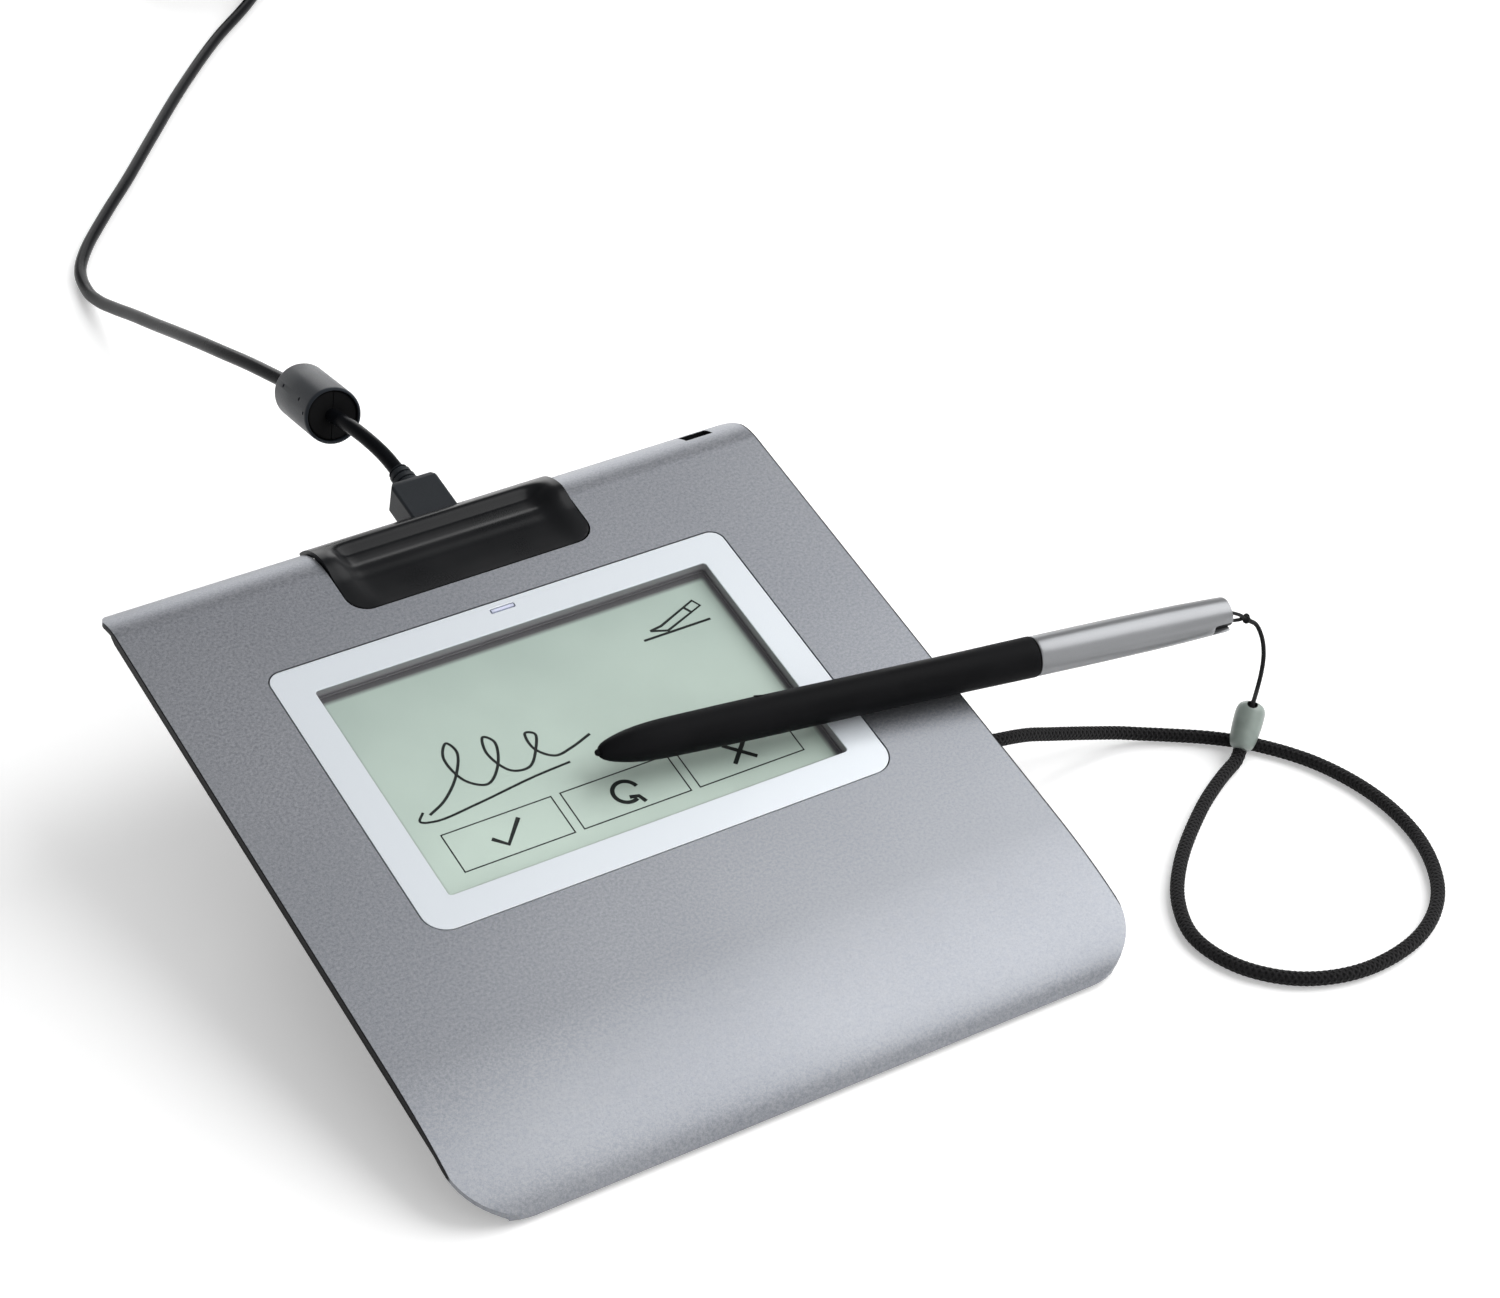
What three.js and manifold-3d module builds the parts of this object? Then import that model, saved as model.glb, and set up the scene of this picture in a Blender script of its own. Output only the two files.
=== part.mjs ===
// Signature pad: an LCD signing tablet on a folding rear stand, with a tethered pen and a USB lead.
// Millimetres, +Z up, +Y to the rear. The origin is on the desk, at the middle of the front rubber foot.
// The tablet is modelled flat in its own frame (top face at z = 0, plan centre at x = y = 0) and tilted as a group.

import * as THREE from 'three';
import { mergeVertices } from 'three/addons/utils/BufferGeometryUtils.js';
import Module from 'manifold-3d';

const wasm = await Module();
wasm.setup();

// Tablet body
const deg = Math.PI / 180;
const tilt = 15.5 * deg;
const bezelWidth = 112.2;
const bezelSideMargin = 23.9;
const bodyWidth = bezelWidth + 2 * bezelSideMargin;
const bodyDepth = 175;
const bodyThickness = 10.8;
const coverThickness = 1.2;
const edgeDrop = 8;
const frontRollLength = 36.5;
const rearRollLength = 13.5;
const frontCornerRadius = 14;
const rearCornerRadius = 10;
const fitGap = 0.3;
const cutOver = 1;

// Bottom shell
const rimInset = 0.8;
const sideBandHeight = 4.4;
const taperSideInset = 5.6;
const bottomSideInset = 8.2;
const bottomFrontInset = 7.6;
const bottomRearInset = 4.5;
const rimLip = 0.4;
const shellWall = 1.4;
const shellFloor = 1.3;

// Bezel, window and status bar
const windowCentreY = bodyDepth * 0.0791;
const bezelDepth = bodyDepth * 0.4377;
const bezelSideBand = 7.85;
const bezelEndBand = 7.9;
const bezelRadius = 5;
const bezelHeight = 1.9;
const bezelFlange = 2.4;
const flangeThickness = 0.4;
const windowWidth = bezelWidth - 2 * bezelSideBand;
const windowDepth = bezelDepth - 2 * bezelEndBand;
const windowRadius = 0.8;
const ledBarWidth = 5.4;
const ledBarDepth = 0.7;
const ledBarFromEdge = 2.3;
const ledHeight = 0.7;

// Display stack, from the window down
const glassOverlap = 2.2;
const glassWidth = windowWidth + 2 * glassOverlap;
const glassDepth = windowDepth + 2 * glassOverlap;
const glassThickness = 0.6;
const lcdInset = 0.5;
const lcdWidth = glassWidth - 2 * lcdInset;
const lcdDepth = glassDepth - 2 * lcdInset;
const lcdThickness = 1.2;
const holderWall = 1.8;
const holderLip = 3.5;
const holderLipThickness = 0.4;
const sensorInset = 1.2;
const sensorWidth = bezelWidth - 2 * sensorInset;
const sensorDepth = bezelDepth - 2 * sensorInset;
const sensorThickness = 0.8;
const shieldThickness = 0.4;

// Main board, USB socket and ribbon
const boardWidth = 96;
const boardDepth = 15.8;
const boardThickness = 1;
const usbX = 2;
const usbAxisDrop = 6.6;
const socketWidth = 7.7;
const socketHeight = 3.9;
const socketDepth = 7;
const socketWall = 0.35;
const plugPocketDepth = 5.4;
const ribbonWidth = 22;
const ribbonThickness = 0.3;
const ribbonX = -30;

// Screws
const screwFromSide = 16;
const screwFromFront = 29.5;
const screwFromRear = 35.5;
const screwRadius = 1;
const screwHeadRadius = 2.2;
const screwHeadHeight = 1.1;
const bossRadius = 3.1;
const bossSplit = 4.2;
const screwTipDrop = 2.4;
const pilotDepth = 0.3;
const counterboreRoof = 1.8;

// Pen rest in the rear edge
const restWidth = 60;
const restDepth = 26.45;
const restRadius = 5;
const restThickness = 1.4;
const restBulge = 1.3;
const restBulgeLength = 8;
const grooveDepth = 3;
const grooveEndMargin = 2.6;
const grooveEndBlend = 4.5;

// Security slot
const lockFromSide = 11.3;
const lockAngle = 36 * deg;
const lockSlotWidth = 7;
const lockSlotHeight = 3;
const lockPlateLeft = 7;
const lockPlateRight = 4.5;
const lockPlateHeight = 5;
const lockPlateThickness = 0.8;
const lockPlateSink = 0.9;

// Folding stand
const hingeFromRear = 26.15;
const hingeDrop = 9.1;
const legWidth = 90;
const legFootWidth = 80;
const legThickness = 2.2;
const legCornerRadius = 6;
const barrelRadius = 1.7;
const hingePinRadius = 0.8;
const hingePinDepth = 6;
const recessWall = 1.1;
const recessSideWall = 3.2;
const standFootHeight = 5;
const scoopRadius = 7;

// Feet
const frontFootFromFront = 9.35;
const frontFootSideMargin = 18;
const frontFootDepth = 6;
const frontFootProud = 0.84;
const footRecess = 0.8;
const rearFootFromSide = 20;
const rearFootFromRear = 13.5;
const rearFootRadius = 5;
const rearFootProud = 0.8;

// Tether anchor on the right-hand side
const anchorFromSide = 14;
const anchorY = -20.5;
const anchorThickness = 2;
const anchorWidth = 10;
const anchorHoleDrop = 8.2;
const anchorPocketRoof = 5.2;
const anchorPocketInner = 4.5;
const anchorPocketWall = 1.2;
const knotRadius = 2.3;
const knotSquash = 0.72;

// Pen, measured along its axis from the tip
const penAngle = -8.12 * deg;
const penTipX = -4.9;
const penTipY = 1.36;
const penAxisHeight = 4.95;
const penLength = 152.3;
const gripLength = 103.5;
const penMaxRadius = 4.6;
const penEndRadius = 3.95;
const nibRadius = 0.8;
const nibProud = 1;
const nibLength = 26;
const penWall = 0.9;
const gripSpigotLength = 7;
const endInsertStart = 138;
const endForkStart = 147.4;
const endForkGap = 2.6;
const endInsertProud = 0.6;
const endKeyLength = 4.4;
const endKeyWidth = 2.2;
const crossbarRadius = 0.7;
const crossbarFromEnd = 1.9;
const penCoilStart = 30;
const penCoilLength = 22;
const penCoilRadius = 2.4;
const penBoardLength = 36;
const penBoardWidth = 4.6;

// Tether: braided cord, bead, thread, knot and loop
const tetherDiameter = 3.2;
const beadRadius = 2.9;
const threadDiameter = 1.2;
const threadKnotRadius = 1.3;
const loopDiameter = 0.8;
const threadKnotFromEnd = 6.3;
const threadKnotDrop = 3.2;

// USB lead
const usbCordDiameter = 3.45;
const usbCordLength = 1500;
const plugWidth = 11.6;
const plugHeight = 7.8;
const plugLength = 13.65;
const plugChamfer = 0.7;
const plugRearShare = 0.84;
const plugRearSlope = 1.4;
const plugShellWidth = 6.3;
const plugShellHeight = 2.5;
const plugShellReach = 6.3;
const plugShellWall = 0.35;
const collarLength = 5.5;
const collarRadius = 3;
const collarEndRadius = 2.3;
const ferriteRadius = 6.8;
const ferriteLength = 24.9;
const ferriteRound = 1.6;
const ferriteCoreRadius = 5.9;
const ferriteDotRadius = 0.35;
const ferriteDots = [[18.7, 23], [6.7, 22], [2, 3]];
const coilPitch = 3.95;
const coilLayers = 4;
const coilTurnsPerLayer = 1.6875;
const coilFloorGap = 1.0;
const coilLoopSteps = 24;
const coilSides = 6;
const tieWidth = 6;
const tieThickness = 0.6;
const aBodyLength = 27;
const aBodyWidth = 15.6;
const aBodyHeight = 8;
const aBodyRound = 1.8;
const aShellLength = 12;
const aShellWidth = 12;
const aShellHeight = 4.5;
const aShellWall = 0.35;
const aTongueThickness = 1.6;
const aReliefLength = 11;
const aReliefRadius = 3;

// Cord routes on the desk, chosen by hand
const tetherRoute = [
  [68.5, 54.7, 18.3],
  [74, 54.5, 18.3],
  [80.5, 54.3, 17.9],
  [87, 54.4, 16.9],
  [95.4, 55.9, 14.2],
  [102.4, 57.1, 11.2],
  [109.8, 58, 8.2],
  [116.7, 58.4, 5.6],
  [123, 58, 3.6],
  [128.4, 56.4, 2.3],
  [133.3, 53.8, 1.75],
  [141.3, 47.6, 1.65],
  [148.3, 40, 1.65],
  [155.4, 26.8, 1.65],
  [158.4, 9.7, 1.65],
  [155.6, -8.5, 1.65],
  [146.3, -24.7, 1.65],
  [133, -33.8, 1.65],
  [116.2, -36.2, 1.65],
  [103.4, -31.7, 1.65],
  [95.1, -21.9, 1.65],
  [92.9, -9.5, 1.65],
  [97.4, 2.3, 1.65],
  [106.8, 13.8, 1.65],
  [122.3, 26.7, 1.65],
  [131.7, 32.8, 1.65],
  [137.6, 35.9, 1.7],
  [139.7, 36.8, 1.9],
  [141.3, 37.7, 2.5],
  [142.2, 38.3, 3.3],
];
const threadRoute = [
  [149.3, 43.3, 11.1],
  [151.2, 44.6, 13.1],
  [153.4, 46.2, 16],
  [155.2, 48, 19.3],
  [155.9, 49.8, 22.4],
  [155.3, 51.4, 25.3],
];
const usbShortRoute = [
  [2, 172.5, 53.1],
  [1.6, 178, 54.6],
  [0.8, 184.1, 55.7],
  [0.1, 190.3, 56],
  [-0.3, 195, 55.7],
  [-0.4, 199.7, 54.8],
];
const usbRunRoute = [
  [2.7, 224.2, 49.3],
  [2.5, 231.5, 47.8],
  [1.9, 250.1, 43.9],
  [1.8, 267.3, 39.4],
  [2.7, 283.4, 34.4],
  [4.2, 300.8, 28.4],
  [5.9, 319.2, 21.9],
  [7.9, 338.7, 15],
  [9.4, 355.4, 9],
  [10.4, 368.4, 4.8],
  [11.6, 379.4, 2.4],
  [14.6, 391.8, 1.85],
  [20.8, 402.9, 1.85],
  [34.5, 420.5, 1.85],
  [49.6, 438.4, 1.85],
  [67.2, 460.2, 1.85],
  [88.3, 485.9, 1.85],
  [113, 513.4, 1.85],
  [133.5, 532.9, 2.1],
];
const coilStart = [154.6, 558.2];
const coilStartHeading = 47.2 * deg;
const usbTailRoute = [
  [-9, -1.5, -1],
  [-16, -4, -3.6],
  [-25, -8, -7.2],
  [-33, -13.5, -9.9],
  [-40, -20, -10.5],
  [-42.4, -22.5, -10.5],
];

// Mesh helpers

function tidy(geometry) {
  const bare = geometry.index ? geometry.toNonIndexed() : geometry.clone();
  bare.deleteAttribute('normal');
  bare.deleteAttribute('uv');
  bare.clearGroups();
  const merged = mergeVertices(bare, 1e-4);
  const source = merged.index.array;
  const kept = [];
  for (let i = 0; i < source.length; i += 3) {
    const [a, b, c] = [source[i], source[i + 1], source[i + 2]];
    if (a !== b && b !== c && c !== a) {
      kept.push(a, b, c);
    }
  }
  merged.setIndex(kept);
  return faceOut(merged);
}

function faceOut(geometry) {
  const position = geometry.attributes.position;
  const index = geometry.index.array;
  const [a, b, c] = [new THREE.Vector3(), new THREE.Vector3(), new THREE.Vector3()];
  let volume = 0;
  for (let i = 0; i < index.length; i += 3) {
    a.fromBufferAttribute(position, index[i]);
    b.fromBufferAttribute(position, index[i + 1]);
    c.fromBufferAttribute(position, index[i + 2]);
    volume += a.dot(b.cross(c));
  }
  if (volume < 0) {
    for (let i = 0; i < index.length; i += 3) {
      [index[i + 1], index[i + 2]] = [index[i + 2], index[i + 1]];
    }
  }
  return geometry;
}

function solidOf(geometry) {
  const clean = tidy(geometry);
  return new wasm.Manifold(new wasm.Mesh({
    numProp: 3,
    vertProperties: new Float32Array(clean.attributes.position.array),
    triVerts: new Uint32Array(clean.index.array),
  }));
}

function geometryOf(solid) {
  const mesh = solid.getMesh();
  const geometry = new THREE.BufferGeometry();
  geometry.setAttribute('position', new THREE.BufferAttribute(new Float32Array(mesh.vertProperties), 3));
  geometry.setIndex(Array.from(mesh.triVerts));
  return geometry;
}

function joined(first, ...others) {
  return geometryOf(others.reduce((sum, other) => sum.add(solidOf(other)), solidOf(first)));
}

function cutBy(base, ...tools) {
  return geometryOf(tools.reduce((rest, tool) => rest.subtract(solidOf(tool)), solidOf(base)));
}

function common(first, second) {
  return geometryOf(solidOf(first).intersect(solidOf(second)));
}

// A box by its low and high corners
function box(x0, x1, y0, y1, z0, z1) {
  const geometry = new THREE.BoxGeometry(x1 - x0, y1 - y0, z1 - z0);
  geometry.translate((x0 + x1) / 2, (y0 + y1) / 2, (z0 + z1) / 2);
  return geometry;
}

// A box centred on x and y, between two heights
function slab(width, depth, z0, z1, x = 0, y = 0) {
  return box(x - width / 2, x + width / 2, y - depth / 2, y + depth / 2, z0, z1);
}

function discZ(radius, z0, z1, x = 0, y = 0, sides = 20) {
  const geometry = new THREE.CylinderGeometry(radius, radius, z1 - z0, sides);
  geometry.rotateX(Math.PI / 2);
  geometry.translate(x, y, (z0 + z1) / 2);
  return geometry;
}

function rodX(radius, x0, x1, y = 0, z = 0, sides = 16) {
  const geometry = new THREE.CylinderGeometry(radius, radius, x1 - x0, sides);
  geometry.rotateZ(Math.PI / 2);
  geometry.translate((x0 + x1) / 2, y, z);
  return geometry;
}

function rodY(radius, y0, y1, x = 0, z = 0, sides = 16) {
  const geometry = new THREE.CylinderGeometry(radius, radius, y1 - y0, sides);
  geometry.translate(x, (y0 + y1) / 2, z);
  return geometry;
}

// Points of a plan outline, counter-clockwise, with its own radius at the front and at the rear corners
function planPoints(halfWidth, yFront, yRear, frontRadius, rearRadius, steps = 7) {
  const corners = [
    [halfWidth - frontRadius, yFront + frontRadius, frontRadius],
    [halfWidth - rearRadius, yRear - rearRadius, rearRadius],
    [rearRadius - halfWidth, yRear - rearRadius, rearRadius],
    [frontRadius - halfWidth, yFront + frontRadius, frontRadius],
  ];
  return corners.flatMap(([x, y, radius], corner) => Array.from({ length: steps + 1 }, (_, i) => {
    const angle = (corner - 1 + i / steps) * Math.PI / 2;
    return new THREE.Vector2(x + radius * Math.cos(angle), y + radius * Math.sin(angle));
  }));
}

function prismZ(points, z0, z1) {
  const geometry = new THREE.ExtrudeGeometry(new THREE.Shape(points), { depth: z1 - z0, bevelEnabled: false });
  geometry.translate(0, 0, z0);
  return geometry;
}

// A prism along X whose section is given as [y, z] points
function prismX(section, x0, x1) {
  const shape = new THREE.Shape(section.map(([y, z]) => new THREE.Vector2(y, z)));
  const geometry = new THREE.ExtrudeGeometry(shape, { depth: x1 - x0, bevelEnabled: false });
  geometry.translate(0, 0, x0);
  const turn = new THREE.Matrix4().makeBasis(
    new THREE.Vector3(0, 1, 0),
    new THREE.Vector3(0, 0, 1),
    new THREE.Vector3(1, 0, 0),
  );
  return geometry.applyMatrix4(turn);
}

function roundedPlate(width, depth, radius, z0, z1, y = 0, steps = 7) {
  return prismZ(planPoints(width / 2, y - depth / 2, y + depth / 2, radius, radius, steps), z0, z1);
}

// A closed body through rings of the same number of points, capped at both ends
function loft(rings) {
  const count = rings[0].length;
  const positions = rings.flat().flatMap((p) => [p.x, p.y, p.z]);
  const index = [];
  for (let r = 0; r < rings.length - 1; r++) {
    for (let i = 0; i < count; i++) {
      const a = r * count + i;
      const b = r * count + ((i + 1) % count);
      index.push(a, b, b + count, a, b + count, a + count);
    }
  }
  const last = (rings.length - 1) * count;
  for (let i = 1; i < count - 1; i++) {
    index.push(0, i + 1, i, last, last + i, last + i + 1);
  }
  const geometry = new THREE.BufferGeometry();
  geometry.setAttribute('position', new THREE.Float32BufferAttribute(positions, 3));
  geometry.setIndex(index);
  return faceOut(geometry);
}

// A body of revolution about the X axis, from [distance, radius] points
function turnedX(profile, sides = 24) {
  const geometry = new THREE.LatheGeometry(profile.map(([s, r]) => new THREE.Vector2(r, s)), sides);
  geometry.rotateZ(-Math.PI / 2);
  return tidy(geometry);
}

function circleShape(radius, sides) {
  const points = [];
  for (let i = 0; i < sides; i++) {
    const angle = (2 * Math.PI * i) / sides;
    points.push(new THREE.Vector2(radius * Math.cos(angle), radius * Math.sin(angle)));
  }
  return new THREE.Shape(points);
}

function curveOf(route) {
  return new THREE.CatmullRomCurve3(route.map((p) => new THREE.Vector3(...p)), false, 'centripetal');
}

function cordTube(route, diameter, sides, spacing) {
  const curve = curveOf(route);
  const steps = Math.min(80, Math.ceil(curve.getLength() / (spacing * diameter)));
  return new THREE.ExtrudeGeometry(circleShape(diameter / 2, sides), { steps, extrudePath: curve });
}

// A tube through given points that lie nearly level, open or closed on itself
function sweep(points, radius, sides, closed = false) {
  const up = new THREE.Vector3(0, 0, 1);
  const rings = points.map((p, i) => {
    const before = points[closed ? (i + points.length - 1) % points.length : Math.max(i - 1, 0)];
    const after = points[closed ? (i + 1) % points.length : Math.min(i + 1, points.length - 1)];
    const along = after.clone().sub(before).normalize();
    const side = along.clone().cross(up).normalize();
    const rise = side.clone().cross(along);
    return Array.from({ length: sides }, (_, k) => {
      const angle = (2 * Math.PI * (k + 0.5)) / sides;
      return p.clone().addScaledVector(side, radius * Math.cos(angle)).addScaledVector(rise, radius * Math.sin(angle));
    });
  });
  if (!closed) {
    return loft(rings);
  }
  const geometry = new THREE.BufferGeometry();
  const index = [];
  rings.forEach((_, r) => {
    const next = (r + 1) % rings.length;
    for (let i = 0; i < sides; i++) {
      const j = (i + 1) % sides;
      index.push(r * sides + i, r * sides + j, next * sides + j, r * sides + i, next * sides + j, next * sides + i);
    }
  });
  geometry.setAttribute('position', new THREE.Float32BufferAttribute(rings.flat().flatMap((p) => [p.x, p.y, p.z]), 3));
  geometry.setIndex(index);
  return faceOut(geometry);
}

// A thin sheet over a grid of plan points, with its top surface and thickness given
function sheetBody(xs, ys, topAt, thickness) {
  const positions = [];
  for (const lower of [0, thickness]) {
    for (const y of ys) {
      for (const x of xs) {
        positions.push(x, y, topAt(x, y) - lower);
      }
    }
  }
  const [nx, ny] = [xs.length, ys.length];
  const under = nx * ny;
  const index = [];
  const quad = (a, b, c, d) => index.push(a, b, c, a, c, d);
  for (let j = 0; j < ny - 1; j++) {
    for (let i = 0; i < nx - 1; i++) {
      const a = j * nx + i;
      quad(a, a + 1, a + nx + 1, a + nx);
      quad(under + a, under + a + nx, under + a + nx + 1, under + a + 1);
    }
  }
  for (let i = 0; i < nx - 1; i++) {
    const far = (ny - 1) * nx + i;
    quad(i, under + i, under + i + 1, i + 1);
    quad(far, far + 1, under + far + 1, under + far);
  }
  for (let j = 0; j < ny - 1; j++) {
    const near = j * nx;
    const far = j * nx + nx - 1;
    quad(near, near + nx, under + near + nx, under + near);
    quad(far, under + far, under + far + nx, far + nx);
  }
  const geometry = new THREE.BufferGeometry();
  geometry.setAttribute('position', new THREE.Float32BufferAttribute(positions, 3));
  geometry.setIndex(index);
  return faceOut(geometry);
}

function smoothStep(t) {
  const s = Math.min(1, Math.max(0, t));
  return s * s * (3 - 2 * s);
}

function spread(from, to, count) {
  return Array.from({ length: count + 1 }, (_, i) => from + ((to - from) * i) / count);
}

// Places worked out from the driving sizes

const frontY = -bodyDepth / 2;
const rearY = bodyDepth / 2;
const lockX = bodyWidth / 2 - lockFromSide;
const rearFootX = bodyWidth / 2 - rearFootFromSide;
const frontFootWidth = bodyWidth - 2 * frontFootSideMargin;
const anchorX = bodyWidth / 2 - anchorFromSide;
const rearArcRadius = (rearRollLength ** 2 + edgeDrop ** 2) / (2 * edgeDrop);
const rearArcY = rearY - rearRollLength;
const rearArcEnd = Math.asin(rearRollLength / rearArcRadius);
const frontArcY = frontY + frontRollLength;
const hingeY = rearY - hingeFromRear;
const contactY = frontY + frontFootFromFront;
const contactZ = -bodyThickness - frontFootProud;
const floorZ = (y) => contactZ - (y - contactY) * Math.tan(tilt);
const pinX = legWidth / 2;
const recessHalfWidth = legWidth / 2 + fitGap;
const legPlateY = legThickness / 2 - (barrelRadius - legThickness / 2);
const legRearFace = legThickness + (barrelRadius - legThickness);
const legFrontFace = legRearFace - legThickness;
const recessRearY = hingeY + barrelRadius + fitGap;
const recessRoof = -hingeDrop + legThickness - legRearFace + fitGap;
const legLength = -hingeDrop - floorZ(hingeY + legPlateY);
const recessFrontY = hingeY - legLength - fitGap - cutOver;
const glassTop = -bezelHeight - fitGap;
const lcdTop = glassTop - glassThickness - fitGap;
const holderBottom = lcdTop - lcdThickness - fitGap - holderLipThickness;
const sensorTop = holderBottom - fitGap;
const shieldTop = sensorTop - sensorThickness - fitGap;
const shellInnerFloor = -bodyThickness + shellFloor;
const boardTop = shellInnerFloor + fitGap + boardThickness;
const pocketFrontY = rearY - plugPocketDepth;
const socketFrontY = pocketFrontY - socketDepth;
const restFrontY = rearY - restDepth;
const ledBarY = windowCentreY + bezelDepth / 2 - ledBarFromEdge;
const anchorOuterX = anchorX + anchorThickness;
const plugFrontY = pocketFrontY + fitGap;
const plugRearY = plugFrontY + plugLength;
const collarY = plugRearY + fitGap;

const padPlace = new THREE.Vector3(
  0,
  -(contactY * Math.cos(tilt) - contactZ * Math.sin(tilt)),
  -(contactY * Math.sin(tilt) + contactZ * Math.cos(tilt)),
);
const onDesk = (x, y, z) => new THREE.Vector3(x, y, z).applyAxisAngle(new THREE.Vector3(1, 0, 0), tilt).add(padPlace);
const penOnPad = (x, y, z) => new THREE.Vector3(x, y, z).applyAxisAngle(new THREE.Vector3(0, 0, 1), penAngle)
  .add(new THREE.Vector3(penTipX, penTipY, penAxisHeight));
const tetherExit = onDesk(anchorOuterX + 2 * fitGap, anchorY, -anchorHoleDrop);
const usbExit = onDesk(usbX, collarY + collarLength + fitGap, -usbAxisDrop);
const knotPlace = onDesk(...penOnPad(penLength + threadKnotFromEnd, 0, -threadKnotDrop));

// Moves a route drawn from one place so that it leaves from another, its heights above the desk scaled to match
function fitted(route, from, to, diameter) {
  const rise = (to.z - diameter / 2) / (from[2] - diameter / 2);
  return route.map(([x, y, z]) => [x + to.x - from[0], y + to.y - from[1], diameter / 2 + (z - diameter / 2) * rise]);
}

const tetherLine = fitted(tetherRoute, tetherRoute[0], tetherExit, tetherDiameter);
const usbShortLine = fitted(usbShortRoute, usbShortRoute[0], usbExit, usbCordDiameter);
const usbRunLine = fitted(usbRunRoute, usbShortRoute[0], usbExit, usbCordDiameter);
const threadLine = threadRoute.map(([x, y, z]) => [
  x + tetherExit.x - tetherRoute[0][0], y + tetherExit.y - tetherRoute[0][1], z,
]);
const threadLast = new THREE.Vector3(...threadLine[threadLine.length - 1]).sub(knotPlace).normalize();
threadLine.push(knotPlace.clone().addScaledVector(threadLast, threadKnotRadius + fitGap / 2).toArray());

// Outline of the cover's top surface from the front rim to the rear rim, lowered square to itself
function coverLine(offset, frontSteps = 12, rearSteps = 7) {
  const line = [];
  for (let i = 0; i <= frontSteps; i++) {
    const angle = 90 * deg * (1 - i / frontSteps);
    const y = frontArcY - (frontRollLength - offset) * Math.sin(angle);
    line.push([y, -edgeDrop + (edgeDrop - offset) * Math.cos(angle)]);
  }
  for (let i = 0; i <= rearSteps; i++) {
    const angle = (rearArcEnd * i) / rearSteps;
    const reach = rearArcRadius - offset;
    line.push([rearArcY + reach * Math.sin(angle), -rearArcRadius + reach * Math.cos(angle)]);
  }
  return line;
}

function coverHeight(y) {
  if (y <= rearArcY) {
    return 0;
  }
  return -rearArcRadius + Math.sqrt(rearArcRadius ** 2 - (y - rearArcY) ** 2);
}

// Top cover: a rolled sheet with the bezel opening, the pen rest opening and four screw bosses
function topCover() {
  const section = [...coverLine(0), ...coverLine(coverThickness).reverse()];
  const sheet = prismX(section, -bodyWidth / 2 - cutOver, bodyWidth / 2 + cutOver);
  const plan = planPoints(bodyWidth / 2, frontY, rearY, frontCornerRadius, rearCornerRadius, 9);
  const skin = common(sheet, prismZ(plan, -bodyThickness, cutOver));
  const bosses = screwPlaces().map(([x, y]) => discZ(screwHeadRadius + pilotDepth, -bossSplit, -coverThickness / 2, x, y));
  const pilots = screwPlaces().map(([x, y]) => (
    discZ(screwRadius + fitGap, -bossSplit - cutOver, -screwTipDrop + pilotDepth, x, y, 12)
  ));
  const opening = roundedPlate(
    bezelWidth + 2 * fitGap, bezelDepth + 2 * fitGap, bezelRadius + fitGap, -bodyThickness, cutOver, windowCentreY,
  );
  const restOpening = prismZ(
    planPoints(restWidth / 2 + fitGap, restFrontY - fitGap, rearY + restDepth, restRadius, restRadius),
    -bodyThickness, cutOver,
  );
  return cutBy(joined(skin, ...bosses), ...pilots, opening, restOpening, lockSlotTool());
}

function screwPlaces() {
  const x = bodyWidth / 2 - screwFromSide;
  const [front, rear] = [frontY + screwFromFront, rearY - screwFromRear];
  return [[-x, front], [x, front], [-x, rear], [x, rear]];
}

// A prism square to the rear roll at the lock slot's angle
function atLock(geometry, reach) {
  geometry.rotateX(-lockAngle);
  const y = rearArcY + reach * Math.sin(lockAngle);
  geometry.translate(lockX, y, -rearArcRadius + reach * Math.cos(lockAngle));
  return geometry;
}

function lockSlotTool() {
  return atLock(slab(lockSlotWidth, lockSlotHeight, -coverThickness * 2, coverThickness * 2), rearArcRadius);
}

function lockPlate() {
  const reach = rearArcRadius - coverThickness - lockPlateSink;
  const plate = box(-lockPlateLeft, lockPlateRight, -lockPlateHeight / 2, lockPlateHeight / 2, -lockPlateThickness, 0);
  const hole = slab(lockSlotWidth, lockSlotHeight, -lockPlateThickness - cutOver, cutOver);
  const inside = loft(shellLevels().map((level) => shellRing(level, shellWall + fitGap, level.z)));
  return common(atLock(cutBy(plate, hole), reach), inside);
}

// Rings of the bottom shell, from under the cover down to the flat bottom
function shellLevels() {
  return [
    { z: -coverThickness - fitGap, side: rimInset - fitGap, front: rimInset, rear: rimInset },
    { z: -sideBandHeight, side: rimInset, front: rimInset, rear: rimInset },
    { z: -edgeDrop - rimLip, side: taperSideInset, front: rimInset, rear: rimInset },
    { z: -bodyThickness, side: bottomSideInset, front: bottomFrontInset, rear: bottomRearInset },
  ];
}

function shellRing(level, wall, z) {
  const side = level.side + wall;
  const front = level.front + wall;
  const rear = level.rear + wall;
  const frontRadius = frontCornerRadius - wall;
  const rearRadius = rearCornerRadius - wall;
  const points = planPoints(bodyWidth / 2 - side, frontY + front, rearY - rear, frontRadius, rearRadius);
  return points.map((p) => new THREE.Vector3(p.x, p.y, z));
}

function mixedLevel(a, b, z) {
  const t = (z - a.z) / (b.z - a.z);
  const mix = (key) => a[key] + (b[key] - a[key]) * t;
  return { z, side: mix('side'), front: mix('front'), rear: mix('rear') };
}

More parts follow.
